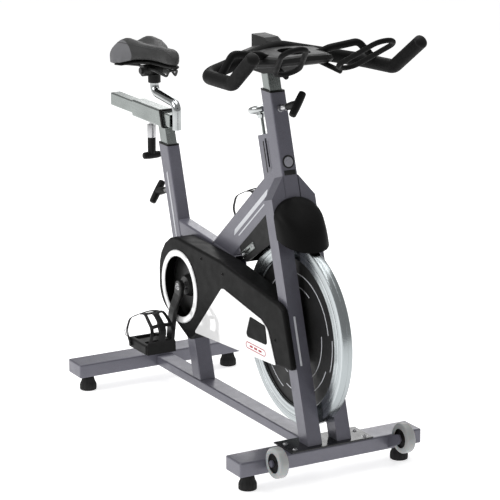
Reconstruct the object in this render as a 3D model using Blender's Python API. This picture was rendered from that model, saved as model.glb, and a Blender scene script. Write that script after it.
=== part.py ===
"""Indoor cycling bike with a fixed-gear flywheel, built as an assembly of separate pieces.

Metres. +X is the front of the bike, +Y is the rider's left, +Z is up. The origin lies on the floor
under the middle of the bike. The seat tube, the head tube and the fork legs all lean back by the
same angle, so they are drawn in a leaning frame: "a" runs up along the tubes and "b" forward.
"""
import math

import bmesh
import bpy
from mathutils import Matrix, Vector

# ---------------------------------------------------------------- driving dimensions
SHIFT = 0.0625                 # moves the frame's own zero to the middle of the whole bike
GAP = 0.0003                   # clearance between pieces that touch
LEAN = math.radians(17.2)      # backward lean of the seat tube, head tube and fork
BASE_WIDTH = 0.508             # length of both floor bars
FLOOR_BAR_X = 0.4319           # each floor bar's distance from the middle of the base
FLOOR_BAR_DEPTH = 0.0723
FLOOR_BAR_LOW = 0.044
FLOOR_BAR_TOP = 0.081
CRANK = (-0.167, 0.3314)       # crank axis, x and z
CRANK_LENGTH = 0.155
CRANK_ANGLE = math.radians(-101.0)   # right crank arm, from +X towards +Z
AXLE = (0.306, 0.3225)         # flywheel axis, x and z
WHEEL_R = 0.228
WHEEL_HALF = 0.014             # half the width of the flywheel rim
PULLEY_R = 0.0900              # crank pulley
RATIO = 3.25                   # flywheel turns for each turn of the cranks
BELT_Y = -0.036                # plane of the belt
BELT_WIDTH = 0.012
BELT_THICK = 0.003
GUARD_Y = -0.075               # outer face of the belt guard
HEAD_TUBE_LOW = 0.500          # leaning-frame a of the head tube's lower end
HEAD_FRONT = 0.460             # leaning-frame b of the head tube's and the fork's front faces
SEAT_FRONT = -0.1258           # leaning-frame b of the seat tube's front face
ROD_B = 0.363                  # leaning-frame b of the resistance rod
SLIDER_Z = 0.7285              # middle height of the saddle slider
SADDLE_POST_X = -0.318         # lower upright of the bent saddle post
SADDLE_X = -0.4425             # upper upright of the bent saddle post
SADDLE_POST_R = 0.0118
TILT_Z = 0.846                 # saddle clamp's cross bolt
BAR_R = 0.017                  # handlebar tube with its coating
BAR_X = 0.19                   # handlebar's crosspiece
BAR_Z = 1.0075
PEDAL_Y = 0.1415               # middle of each pedal
TRANSPORT_X = 0.508
TRANSPORT_Z = 0.083
TRANSPORT_Y = 0.177
TRANSPORT_R = 0.0375
FOOT_Y = 0.214
PIN_R = 0.0048                 # spring pins of the seat tube and the head tube
SEAT_PIN_A = 0.6216            # height of the seat pin along the seat tube
BAR_PIN_A = 0.7584             # height of the handlebar pin along the head tube
KNOB_A = 0.7660                # top of the resistance rod along the head tube
LOCK_X = -0.4615               # clamp screw under the saddle slider
SADDLE_REAR = -0.5730
SADDLE_NOSE = -0.3110
SADDLE_HALF = 0.0840            # half width across the wings
DOWN_ANGLE = math.radians(40.3)      # rise of the down tube towards the head tube
DOWN = Vector((math.cos(DOWN_ANGLE), 0, math.sin(DOWN_ANGLE)))
DOWN_SIDE = Vector((-DOWN.z, 0, DOWN.x))
DOWN_LOW = 0.332               # the down tube's lower and upper faces along DOWN_SIDE
DOWN_HIGH = 0.4128

GREY = (0.135, 0.135, 0.155)
BLACK = (0.012, 0.012, 0.012)
STEEL = (0.62, 0.62, 0.62)
WHITE = (0.85, 0.85, 0.85)
DARK = (0.03, 0.03, 0.032)


# ---------------------------------------------------------------- helpers
def lean(a, b, y=0.0):
    """Point of the leaning frame: a up along the tubes, b forward across them."""
    return Vector((-a * math.sin(LEAN) + b * math.cos(LEAN), y, a * math.cos(LEAN) + b * math.sin(LEAN)))


UP = lean(1.0, 0.0)
FORWARD = lean(0.0, 1.0)


def material(name, colour, roughness, metallic):
    mat = bpy.data.materials.get(name)
    if mat is None:
        mat = bpy.data.materials.new(name)
        mat.use_nodes = True
        shader = mat.node_tree.nodes["Principled BSDF"]
        shader.inputs["Base Color"].default_value = (*colour, 1.0)
        shader.inputs["Roughness"].default_value = roughness
        shader.inputs["Metallic"].default_value = metallic
    return mat


def frame_paint():
    return material("frame_paint", GREY, 0.38, 0.6)


def black_plastic():
    return material("black_plastic", BLACK, 0.45, 0.0)


def black_paint():
    return material("black_paint", DARK, 0.4, 0.3)


def polished_steel():
    return material("polished_steel", STEEL, 0.2, 1.0)


def white_plastic():
    return material("white_plastic", WHITE, 0.2, 0.0)


def rubber():
    return material("rubber", BLACK, 0.8, 0.0)


def place(name, bm, mat, origin=(0.0, 0.0, 0.0), smooth=False):
    """Turn a bmesh in the bike's frame into a named object with its origin at the given point."""
    origin = Vector(origin)
    bmesh.ops.remove_doubles(bm, verts=bm.verts, dist=0.000001)
    bmesh.ops.recalc_face_normals(bm, faces=bm.faces)
    bmesh.ops.translate(bm, verts=bm.verts, vec=-origin)
    mesh = bpy.data.meshes.new(name)
    bm.to_mesh(mesh)
    bm.free()
    if smooth:
        mesh.shade_smooth()
        mesh.set_sharp_from_angle(angle=math.radians(35))
    mesh.materials.append(mat)
    obj = bpy.data.objects.new(name, mesh)
    obj.location = origin + Vector((SHIFT, 0.0, 0.0))
    bpy.context.scene.collection.objects.link(obj)
    return obj


def solid(verts, faces):
    bm = bmesh.new()
    points = [bm.verts.new(v) for v in verts]
    for face in faces:
        bm.faces.new([points[i] for i in face])
    bmesh.ops.recalc_face_normals(bm, faces=bm.faces)
    return bm


def box(low, high, bevel=0.0, segments=1):
    bm = bmesh.new()
    bmesh.ops.create_cube(bm, size=1.0)
    low, high = Vector(low), Vector(high)
    size = high - low
    bmesh.ops.scale(bm, verts=bm.verts, vec=size)
    bmesh.ops.translate(bm, verts=bm.verts, vec=(low + high) / 2)
    if bevel:
        bmesh.ops.bevel(bm, geom=bm.edges[:], offset=bevel, segments=segments, profile=0.5,
                        affect="EDGES", clamp_overlap=True)
    return bm


def loops_to_solid(loops, closed=False):
    """Skin a row of equal loops; the ends are capped, or joined to each other when closed."""
    n = len(loops[0])
    verts = [v for loop in loops for v in loop]
    faces = []
    rows = len(loops) if closed else len(loops) - 1
    for r in range(rows):
        for i in range(n):
            j = (i + 1) % n
            s = (r + 1) % len(loops)
            faces.append((r * n + i, r * n + j, s * n + j, s * n + i))
    if not closed:
        faces.append(tuple(range(n)))
        faces.append(tuple(range((len(loops) - 1) * n, len(loops) * n)))
    return solid(verts, faces)


def rounded(corners, radii, steps=4):
    """Round the corners of a closed outline with arcs."""
    points = []
    n = len(corners)
    for i in range(n):
        p = Vector(corners[i])
        r = radii[i] if isinstance(radii, (list, tuple)) else radii
        before = (Vector(corners[i - 1]) - p).normalized()
        after = (Vector(corners[(i + 1) % n]) - p).normalized()
        half = before.angle(after) / 2
        if r <= 0.0 or abs(half - math.pi / 2) < 0.01:
            points.append(p)
            continue
        centre = p + (before + after).normalized() * (r / math.sin(half))
        start = p + before * (r / math.tan(half)) - centre
        end = p + after * (r / math.tan(half)) - centre
        for k in range(steps + 1):
            f = k / steps
            points.append(centre + (start * (1 - f) + end * f).normalized() * r)
    return points


def prism(outline, y0, y1, bevel=0.0):
    """Extrude an outline of (x, z) points along Y."""
    low = [Vector((p[0], y0, p[1])) for p in outline]
    high = [Vector((p[0], y1, p[1])) for p in outline]
    bm = loops_to_solid([low, high])
    if bevel:
        rims = [e for e in bm.edges if abs(e.verts[0].co.y - e.verts[1].co.y) < 0.0001
                and abs(e.verts[0].co.y - y0) < 0.0001]
        bmesh.ops.bevel(bm, geom=rims, offset=bevel, segments=3, profile=0.5, affect="EDGES")
    return bm


def shape_between(outline, place_point, low, high):
    """Extrude an outline of 2-D points between two values of a third coordinate."""
    first = [place_point(p[0], p[1], low) for p in outline]
    second = [place_point(p[0], p[1], high) for p in outline]
    return loops_to_solid([first, second])


def section(depth, width, radius, steps=2):
    half_d, half_w = depth / 2, width / 2
    corners = [(-half_d, -half_w), (half_d, -half_w), (half_d, half_w), (-half_d, half_w)]
    return rounded(corners, radius, steps)


def tube(base, direction, side, depth, width, wall, start, end, radius=0.004):
    """Rectangular tube with its end faces on two planes, each given as (point, normal)."""
    direction, side, base = Vector(direction).normalized(), Vector(side).normalized(), Vector(base)

    def end_loop(shape, plane):
        point, normal = Vector(plane[0]), Vector(plane[1])
        loop = []
        for s, y in shape:
            p = base + side * s + Vector((0, y, 0))
            loop.append(p + direction * ((point - p).dot(normal) / direction.dot(normal)))
        return loop

    outer = section(depth, width, radius)
    if not wall:
        return loops_to_solid([end_loop(outer, start), end_loop(outer, end)])
    inner = section(depth - 2 * wall, width - 2 * wall, max(radius - wall, 0.0008))
    loops = [end_loop(outer, start), end_loop(outer, end), end_loop(inner, end), end_loop(inner, start)]
    return loops_to_solid(loops, closed=True)


def turned(profile, centre, axis, segments=32, ring=False):
    """Turn a profile of (radius, height) points about an axis; a ring profile closes on itself."""
    axis = Vector(axis).normalized()
    across = axis.orthogonal().normalized()
    other = axis.cross(across)
    verts, rows = [], []
    for radius, height in profile:
        row = []
        if radius < 1e-7:
            row = [len(verts)] * segments
            verts.append(Vector(centre) + axis * height)
        else:
            for k in range(segments):
                angle = 2 * math.pi * k / segments
                row.append(len(verts))
                verts.append(Vector(centre) + axis * height
                             + (across * math.cos(angle) + other * math.sin(angle)) * radius)
        rows.append(row)
    faces = []
    count = len(rows) if ring else len(rows) - 1
    for r in range(count):
        low, high = rows[r], rows[(r + 1) % len(rows)]
        for k in range(segments):
            j = (k + 1) % segments
            face = []
            for index in (low[k], low[j], high[j], high[k]):
                if index not in face:
                    face.append(index)
            if len(face) > 2:
                faces.append(face)
    return solid(verts, faces)


def rod(start, end, radius, segments=16):
    start, end = Vector(start), Vector(end)
    length = (end - start).length
    return turned([(0, 0), (radius, 0), (radius, length), (0, length)], start, end - start, segments)


def pipe(start, end, outer, inner, segments=24):
    start, end = Vector(start), Vector(end)
    length = (end - start).length
    return turned([(outer, 0), (outer, length), (inner, length), (inner, 0)], start, end - start,
                  segments, ring=True)


def fillet_path(corners, radii, steps=5):
    """Open 3-D path through corners, with arcs of the given radii at the inner ones."""
    points = [Vector(corners[0])]
    for i in range(1, len(corners) - 1):
        p = Vector(corners[i])
        before = (Vector(corners[i - 1]) - p).normalized()
        after = (Vector(corners[i + 1]) - p).normalized()
        half = before.angle(after) / 2
        r = radii[i - 1]
        centre = p + (before + after).normalized() * (r / math.sin(half))
        start = p + before * (r / math.tan(half)) - centre
        end = p + after * (r / math.tan(half)) - centre
        for k in range(steps + 1):
            f = k / steps
            points.append(centre + (start * (1 - f) + end * f).normalized() * r)
    points.append(Vector(corners[-1]))
    return points


def swept(path, radius, sides=12, closed=False):
    """Round bar along a path; the frame is carried along it without twisting."""
    path = [Vector(p) for p in path]
    n = len(path)
    tangents = []
    for i in range(n):
        before = path[i - 1] if (closed or i > 0) else path[i]
        after = path[(i + 1) % n] if (closed or i < n - 1) else path[i]
        tangents.append((after - before).normalized())
    normal = tangents[0].orthogonal().normalized()
    if closed:
        middle = sum(path, Vector()) / n
        flat = sum(((path[i - 1] - middle).cross(path[i] - middle) for i in range(n)), Vector())
        normal = flat.normalized()
    loops = []
    for point, tangent in zip(path, tangents):
        normal = (normal - tangent * normal.dot(tangent)).normalized()
        other = tangent.cross(normal)
        loops.append([point + (normal * math.cos(2 * math.pi * k / sides)
                               + other * math.sin(2 * math.pi * k / sides)) * radius
                      for k in range(sides)])
    return loops_to_solid(loops, closed)


def combine(obj, bm, operation):
    """Cut an object with a bmesh, or join the bmesh to it, with an exact Boolean."""
    tool = place("tool", bm, black_plastic())
    modifier = obj.modifiers.new("shape", "BOOLEAN")
    modifier.operation = operation
    modifier.solver = "EXACT"
    modifier.object = tool
    bpy.context.view_layer.update()
    graph = bpy.context.evaluated_depsgraph_get()
    mesh = bpy.data.meshes.new_from_object(obj.evaluated_get(graph))
    obj.modifiers.clear()
    old = obj.data
    smooth = any(polygon.use_smooth for polygon in old.polygons)
    obj.data = mesh
    tidy = bmesh.new()
    tidy.from_mesh(mesh)
    bmesh.ops.remove_doubles(tidy, verts=tidy.verts, dist=0.000002)
    bmesh.ops.dissolve_degenerate(tidy, edges=tidy.edges, dist=0.000002)
    tidy.to_mesh(mesh)
    tidy.free()
    while len(mesh.materials) > 1:
        mesh.materials.pop()
    if smooth:
        mesh.set_sharp_from_angle(angle=math.radians(35))
    name = old.name
    bpy.data.meshes.remove(old)
    mesh.name = name
    bpy.data.objects.remove(tool)
    return obj


def cut(obj, bm):
    return combine(obj, bm, "DIFFERENCE")


def join(obj, bm):
    return combine(obj, bm, "UNION")


# ---------------------------------------------------------------- base and frame
def floor_bars():
    """Two rectangular floor bars, closed at the ends, hollow, with a threaded hole at each foot."""
    for name, x in (("rear_stabilizer", -FLOOR_BAR_X), ("front_stabilizer", FLOOR_BAR_X)):
        low = (x - FLOOR_BAR_DEPTH / 2, -BASE_WIDTH / 2, FLOOR_BAR_LOW)
        high = (x + FLOOR_BAR_DEPTH / 2, BASE_WIDTH / 2, FLOOR_BAR_TOP)
        bar = place(name, box(low, high, 0.0035, 2), frame_paint())
        wall = Vector((0.003, 0.003, 0.003))
        cut(bar, box(Vector(low) + wall, Vector(high) - wall))
        for side in (-1, 1):
            foot = Vector((x, side * FOOT_Y, FLOOR_BAR_LOW))
            cut(bar, rod(foot - Vector((0, 0, 0.01)), foot + Vector((0, 0, 0.01)), 0.0062, 12))
        if x > 0:
            for side in (-1, 1):
                wheel_bracket(bar, side)
    plate = box((0.383, -0.115, FLOOR_BAR_TOP + GAP), (0.470, 0.115, FLOOR_BAR_TOP + 0.004), 0.001)
    place("front_base_plate", plate, black_paint())


def wheel_bracket(bar, side):
    """Welded lug with a stub axle that carries a transport wheel on the front floor bar."""
    front = FLOOR_BAR_X + FLOOR_BAR_DEPTH / 2
    near = side * (TRANSPORT_Y - 0.0175)
    far = side * (TRANSPORT_Y - 0.0135)
    outline = rounded([(front - 0.002, 0.048), (front - 0.002, 0.079), (TRANSPORT_X + 0.004, 0.096),
                       (TRANSPORT_X + 0.013, 0.083), (TRANSPORT_X + 0.004, 0.070)],
                      [0, 0, 0.008, 0.004, 0.008], 3)
    join(bar, prism(outline, min(near, far), max(near, far)))
    axle = rod((TRANSPORT_X, near, TRANSPORT_Z), (TRANSPORT_X, side * (TRANSPORT_Y + 0.0155), TRANSPORT_Z),
               0.005, 12)
    join(bar, axle)
    head = rod((TRANSPORT_X, side * (TRANSPORT_Y + 0.0125), TRANSPORT_Z),
               (TRANSPORT_X, side * (TRANSPORT_Y + 0.018), TRANSPORT_Z), 0.0085, 6)
    join(bar, head)


def feet():
    """Adjustable feet: a ribbed rubber dome on a short threaded stem."""
    names = {(-1, -1): "rear_right_foot", (-1, 1): "rear_left_foot",
             (1, -1): "front_right_foot", (1, 1): "front_left_foot"}
    profile = [(0, 0), (0.020, 0), (0.0225, 0.004), (0.0225, 0.013), (0.019, 0.022), (0.016, 0.034),
               (0.0075, 0.0435 - GAP), (0.0055, 0.0435 - GAP), (0.0055, 0.068), (0, 0.068)]
    for (front, side), name in names.items():
        base = (front * FLOOR_BAR_X, side * FOOT_Y, 0.0)
        place(name, turned(profile, base, (0, 0, 1), 16), rubber(), base, smooth=True)


def bottom_beam():
    """Flat beam along the floor that joins the two floor bars."""
    inner = FLOOR_BAR_X - FLOOR_BAR_DEPTH / 2 - GAP
    height = 0.0245
    base = (0, 0, 0.0595)
    bm = tube(base, (1, 0, 0), (0, 0, 1), height, 0.050, 0.0025,
              ((-inner, 0, 0), (1, 0, 0)), ((inner, 0, 0), (1, 0, 0)), 0.003)
    place("bottom_beam", bm, frame_paint())


def seat_uprights():
    """Leaning seat tube with the thicker lower post under it."""
    depth, width = 0.0502, 0.036
    base = lean(0, SEAT_FRONT - depth / 2)
    joint = 0.300
    level = (0, 0, 1)
    seat = place("seat_tube", tube(base, UP, FORWARD, depth, width, 0.0022,
                                   ((0, 0, joint), level), ((0, 0, 0.6608), level)), frame_paint())
    pin = lean(SEAT_PIN_A, SEAT_FRONT - depth)
    cut(seat, rod(pin - FORWARD * 0.01, pin + FORWARD * 0.01, PIN_R + 0.0006, 16))
    low_depth = 0.0425
    base = lean(0, SEAT_FRONT - low_depth / 2)
    place("lower_post", tube(base, UP, FORWARD, low_depth, 0.045, 0.0025,
                             ((0, 0, 0.0595 + 0.01225 + GAP), level), ((0, 0, joint - GAP), level)),
          frame_paint())


def seat_bush():
    """Plastic sleeve in the top of the seat tube, with a lip on the tube's edge."""
    place("seat_tube_bush", bush(SEAT_FRONT - 0.0251, 0.0502, 0.036, 0.6608, 0.0405, 0.0300, 0.09),
          black_plastic())


def bush(b, depth, width, top, bore_depth, bore_width, length):
    wall = 0.0022
    base = lean(0, b)
    level = (0, 0, 1)

    def loop(d, w, z, radius):
        shape = section(d, w, radius)
        points = []
        for s, y in shape:
            p = base + FORWARD * s + Vector((0, y, 0))
            points.append(p + UP * ((z - p.z) / UP.z))
        return points

    body_d, body_w = depth - 2 * wall - 2 * GAP, width - 2 * wall - 2 * GAP
    loops = [loop(body_d, body_w, top - length, 0.0012), loop(body_d, body_w, top + GAP, 0.0012),
             loop(depth, width, top + GAP, 0.004), loop(depth, width, top + 0.004, 0.004),
             loop(bore_depth, bore_width, top + 0.004, 0.003),
             loop(bore_depth, bore_width, top - length, 0.003)]
    return loops_to_solid(loops, closed=True)


def center_beam():
    """Short beam that slopes forward from the seat tube and carries the foot of the down tube."""
    slope = Vector((0.2792, 0, -0.0254)).normalized()
    side = Vector((-slope.z, 0, slope.x))
    top = Vector((-0.0939, 0, 0.4601))
    depth = 0.040
    bm = tube(top - side * depth / 2, slope, side, depth, 0.034, 0.0022,
              (lean(0, SEAT_FRONT + GAP), FORWARD), ((0.0200, 0, 0), (1, 0, 0)))
    place("center_beam", bm, frame_paint())
    return top, side


def down_tube(beam_top, beam_side):
    """Deep diagonal tube from the centre beam up to the head tube."""
    depth = DOWN_HIGH - DOWN_LOW
    base = DOWN_SIDE * (DOWN_LOW + depth / 2)
    bm = tube(base, DOWN, DOWN_SIDE, depth, 0.036, 0.0022,
              (beam_top + beam_side * GAP, beam_side), (lean(0, HEAD_FRONT - 0.048 - GAP), FORWARD), 0.005)
    obj = place("down_tube", bm, frame_paint())
    cut(obj, rod(lean(0.48, ROD_B), lean(0.66, ROD_B), 0.0085, 16))


def head_tube():
    """Leaning head tube with the welded duct for the resistance rod behind it."""
    depth, width = 0.048, 0.0420
    base = lean(0, HEAD_FRONT - depth / 2)
    level = (0, 0, 1)
    bm = tube(base, UP, FORWARD, depth, width, 0.0022, (lean(HEAD_TUBE_LOW, 0), UP), ((0, 0, 0.898), level))
    obj = place("head_tube", bm, frame_paint())
    high = 0.7060
    duct_rear, duct_front = 0.3520, HEAD_FRONT - depth + 0.0012
    foot = DOWN_SIDE * (DOWN_HIGH + GAP)
    duct = tube(lean(0, (duct_rear + duct_front) / 2), UP, FORWARD, duct_front - duct_rear, 0.028, 0.0030,
                (foot, DOWN_SIDE), (lean(high, 0), UP), 0.003)
    join(obj, duct)
    slot = [lean(a, b) for a, b in ((0.6250, 0.3860), (0.6250, 0.3935), (0.6950, 0.3935), (0.6950, 0.3860))]
    cut(obj, prism([(q.x, q.z) for q in slot], -0.03, 0.03))
    pin = lean(BAR_PIN_A, HEAD_FRONT)
    cut(obj, rod(pin - FORWARD * 0.01, pin + FORWARD * 0.01, PIN_R + 0.0006, 16))


def head_bush():
    obj = place("head_tube_bush", bush(HEAD_FRONT - 0.024, 0.048, 0.0420, 0.898, 0.0335, 0.0352, 0.08),
                black_plastic())
    pin = lean(BAR_PIN_A, HEAD_FRONT)
    cut(obj, rod(pin - FORWARD * 0.012, pin + FORWARD * 0.012, PIN_R + 0.0006, 16))


def fork():
    """Two box-section legs whose shoulders close onto the head tube, with rear axle plates."""
    rear, front = HEAD_FRONT - 0.040, HEAD_FRONT
    foot_z = FLOOR_BAR_TOP + 0.004 + GAP
    inner, outer, wall = 0.0213, 0.0605, 0.0025
    shoulder, crown = 0.5439, 0.5960
    for name, side in (("right_fork_leg", -1), ("left_fork_leg", 1)):
        def leg(y0, y1, b0, b1, grow, foot):
            top = crown - grow * 1.4
            bend = shoulder - grow * 0.5
            loops = []
            for b in (b0, b1):
                foot_a = (foot - b * math.sin(LEAN)) / math.cos(LEAN)
                shape = [(foot_a, y0), (foot_a, y1), (bend, y1), (top, y0)]
                loops.append([lean(a, b, side * y) for a, y in shape])
            return loops_to_solid(loops)

        obj = place(name, leg(inner, outer, rear, front, 0.0, foot_z), frame_paint())
        cut(obj, leg(inner + wall, outer - wall, rear + wall, front - wall, 0.0045, foot_z - 0.02))
        plate = rounded([(AXLE[0] - 0.020, AXLE[1] + 0.022), (AXLE[0] - 0.020, AXLE[1] - 0.022),
                         (0.352, 0.262), (0.3475, 0.385), (0.330, 0.385)],
                        [0.016, 0.016, 0, 0, 0], 3)
        y0, y1 = side * 0.0500, side * 0.0560
        obj = join(obj, prism(plate, min(y0, y1), max(y0, y1)))
        cut(obj, rod((AXLE[0], side * 0.04, AXLE[1]), (AXLE[0], side * 0.07, AXLE[1]), 0.0063, 16))


def bottom_bracket():
    """Crank shell on a short strut from the lower post and seat tube."""
    x, z = CRANK
    shell = place("bottom_bracket_shell", pipe((x, -0.0270, z), (x, 0.0340, z), 0.0215, 0.0175, 24),
                  frame_paint())
    front = lean(0, SEAT_FRONT + GAP)
    strut = tube((x, 0, z), (1, 0, 0), (0, 0, 1), 0.036, 0.034, 0.0, (front, FORWARD),
                 ((x - 0.0185, 0, z), (1, 0, 0)), 0.003)
    join(shell, strut)


# ---------------------------------------------------------------- drive
def flywheel():
    """Heavy disc: broad machined rim, thin web and a boss with a bore for the hub."""
    rim_in = 0.188
    half = WHEEL_HALF
    profile = [(0.0242, -0.013), (0.034, -0.013), (0.038, -0.0065), (rim_in - 0.006, -0.0055),
               (rim_in, -half), (WHEEL_R - 0.004, -half), (WHEEL_R, -half + 0.003),
               (WHEEL_R, half - 0.003), (WHEEL_R - 0.004, half), (rim_in, half),
               (rim_in - 0.006, 0.0055), (0.038, 0.0065), (0.034, 0.013), (0.0242, 0.013)]
    centre = (AXLE[0], 0, AXLE[1])
    place("flywheel", turned(profile, centre, (0, 1, 0), 60, ring=True), polished_steel(), centre, True)
    hub = [(0.0075, -0.046), (0.0150, -0.046), (0.0150, -0.0168), (0.0235, -0.0168), (0.0235, 0.0168),
           (0.0150, 0.0168), (0.0150, 0.046), (0.0075, 0.046)]
    place("flywheel_hub", turned(hub, centre, (0, 1, 0), 32, ring=True), polished_steel(), centre, True)
    axle = [(0, -0.066), (0.0095, -0.066), (0.0095, -0.0563), (0.006, -0.0563), (0.006, 0.0563),
            (0.0095, 0.0563), (0.0095, 0.066), (0, 0.066)]
    place("flywheel_axle", turned(axle, centre, (0, 1, 0), 16), polished_steel(), centre, True)


def pulleys():
    """Big pulley on the crank and small pulley on the flywheel hub, both flanged."""
    y0, y1 = BELT_Y - BELT_WIDTH / 2 - 0.0015, BELT_Y + BELT_WIDTH / 2 + 0.0015
    small = PULLEY_R / RATIO
    centre = (AXLE[0], 0, AXLE[1])
    groove = [(0.0153, y0), (small + 0.003, y0), (small + 0.003, y0 + 0.0012), (small, y0 + 0.0012),
              (small, y1 - 0.0012), (small + 0.003, y1 - 0.0012), (small + 0.003, y1), (0.0153, y1)]
    place("driven_pulley", turned(groove, centre, (0, 1, 0), 32, ring=True), polished_steel(), centre, True)
    centre = (CRANK[0], 0, CRANK[1])
    disc = [(0.0105, -0.0600), (0.024, -0.0600), (0.030, -0.0460), (PULLEY_R - 0.012, -0.0460),
            (PULLEY_R, y0), (PULLEY_R + 0.003, y0), (PULLEY_R + 0.003, y0 + 0.0012),
            (PULLEY_R, y0 + 0.0012), (PULLEY_R, y1 - 0.0012), (PULLEY_R + 0.003, y1 - 0.0012),
            (PULLEY_R + 0.003, y1), (PULLEY_R - 0.010, y1), (0.034, -0.0390), (0.030, -0.0300),
            (0.0105, -0.0300)]
    place("drive_pulley", turned(disc, centre, (0, 1, 0), 32, ring=True), black_paint(), centre, True)


def belt():
    """Endless belt round both pulleys: outer and inner tangent loops."""
    small = PULLEY_R / RATIO
    start, end = Vector((CRANK[0], CRANK[1])), Vector((AXLE[0], AXLE[1]))
    span = (end - start)
    base_angle = math.atan2(span.y, span.x)
    spread = math.acos((PULLEY_R - small) / span.length)

    def outline(extra):
        points = []
        for k in range(25):
            angle = base_angle + spread + (2 * math.pi - 2 * spread) * k / 24
            points.append(start + Vector((math.cos(angle), math.sin(angle))) * (PULLEY_R + extra))
        for k in range(11):
            angle = base_angle - spread + 2 * spread * k / 10
            points.append(end + Vector((math.cos(angle), math.sin(angle))) * (small + extra))
        return points

    half = BELT_WIDTH / 2
    outer, inner = outline(0.0008 + BELT_THICK), outline(0.0008)
    loops = [[Vector((p.x, y, p.y)) for p in line]
             for line, y in ((outer, BELT_Y - half), (outer, BELT_Y + half), (inner, BELT_Y + half),
                             (inner, BELT_Y - half))]
    place("drive_belt", loops_to_solid(loops, closed=True), rubber())


def crank_end(side):
    angle = CRANK_ANGLE if side < 0 else CRANK_ANGLE + math.pi
    return CRANK[0] + CRANK_LENGTH * math.cos(angle), CRANK[1] + CRANK_LENGTH * math.sin(angle), angle


def cranks():
    """Spindle, two forged arms and the pedal spindles screwed into them."""
    x, z = CRANK
    centre = (x, 0, z)
    profile = [(0, -0.0810), (0.0095, -0.0810), (0.0095, -0.0640), (0.0100, -0.0635),
               (0.0100, -0.0268), (0.0130, -0.0268), (0.0130, 0.0560), (0.0095, 0.0560),
               (0.0095, 0.0810), (0, 0.0810)]
    place("crank_spindle", turned(profile, centre, (0, 1, 0), 20), polished_steel(), centre, True)
    for side, word in ((-1, "right"), (1, "left")):
        end_x, end_z, angle = crank_end(side)
        along = Vector((math.cos(angle), 0, math.sin(angle)))
        arm = place(word + "_crank_arm", crank_arm(side, along), black_paint(), centre, True)
        cut(arm, rod((x, side * 0.055, z), (x, side * 0.110, z), 0.0098, 20))
        cut(arm, rod((end_x, side * 0.070, end_z), (end_x, side * 0.110, end_z), 0.0065, 16))
        pedal_spindle(word, side, end_x, end_z)
        pedal(word, side, end_x, end_z)


def crank_arm(side, along):
    """Forged arm that flares outward from the spindle, past the guard's ring, to the pedal."""
    across = Vector((-along.z, 0, along.x))
    wide, narrow, thick = 0.0165, 0.0130, 0.0125
    loops = []
    for k in range(17):
        f = k / 16
        s = -wide + (CRANK_LENGTH + wide + narrow) * (f - math.sin(2 * math.pi * f) / (2 * math.pi) * 0.75)
        t = min(1.0, max(0.0, s / CRANK_LENGTH))
        half = wide + (narrow - wide) * t
        if s < 0:
            half = math.sqrt(max(wide * wide - s * s, 0.000004))
        if s > CRANK_LENGTH:
            half = math.sqrt(max(narrow * narrow - (s - CRANK_LENGTH) ** 2, 0.000004))
        g = min(1.0, max(0.0, (s - 0.014) / 0.060))
        inner = 0.0690 + 0.0135 * g * g * (3 - 2 * g)
        middle = Vector((CRANK[0], 0, CRANK[1])) + along * s
        bevel = min(0.0025, half * 0.6)
        shape = [(-half, inner + bevel), (-half + bevel, inner), (half - bevel, inner), (half, inner + bevel),
                 (half, inner + thick - bevel), (half - bevel, inner + thick), (-half + bevel, inner + thick),
                 (-half, inner + thick - bevel)]
        loops.append([middle + across * w + Vector((0, side * y, 0)) for w, y in shape])
    return loops_to_solid(loops)


def pedal_spindle(word, side, x, z):
    centre = (x, 0, z)
    profile = [(0, 0.0826), (0.0062, 0.0826), (0.0062, 0.0953), (0.0095, 0.0953), (0.0095, 0.0967),
               (0.0062, 0.0967), (0.0048, 0.1700), (0, 0.1700)]
    axis = (0, side, 0)
    place(word + "_pedal_spindle", turned(profile, centre, axis, 16), polished_steel(),
          (x, side * 0.0953, z), True)


def pedal(word, side, x, z):
    """Platform pedal with a bored barrel, and the toe cage bolted to its front."""
    half_w, half_l, half_h = 0.0440, 0.050, 0.0130
    y_in, y_out = side * (PEDAL_Y - half_w), side * (PEDAL_Y + half_w)
    centre = (x, side * PEDAL_Y, z)
    low = (x - half_l, min(y_in, y_out), z - half_h)
    high = (x + half_l, max(y_in, y_out), z + half_h)
    body = place(word + "_pedal", box(low, high, 0.004, 2), black_plastic(), centre)
    for fore in (-1, 1):
        window_low = (x + fore * 0.0285 - 0.0125, side * PEDAL_Y - 0.032, z - 0.03)
        window_high = (x + fore * 0.0285 + 0.0125, side * PEDAL_Y + 0.032, z + 0.03)
        cut(body, box(window_low, window_high, 0.003, 1))
    cut(body, rod((x, side * 0.080, z), (x, side * 0.1735, z), 0.0068, 16))
    toe_cage(word, side, x, z, half_l, centre)


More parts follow.
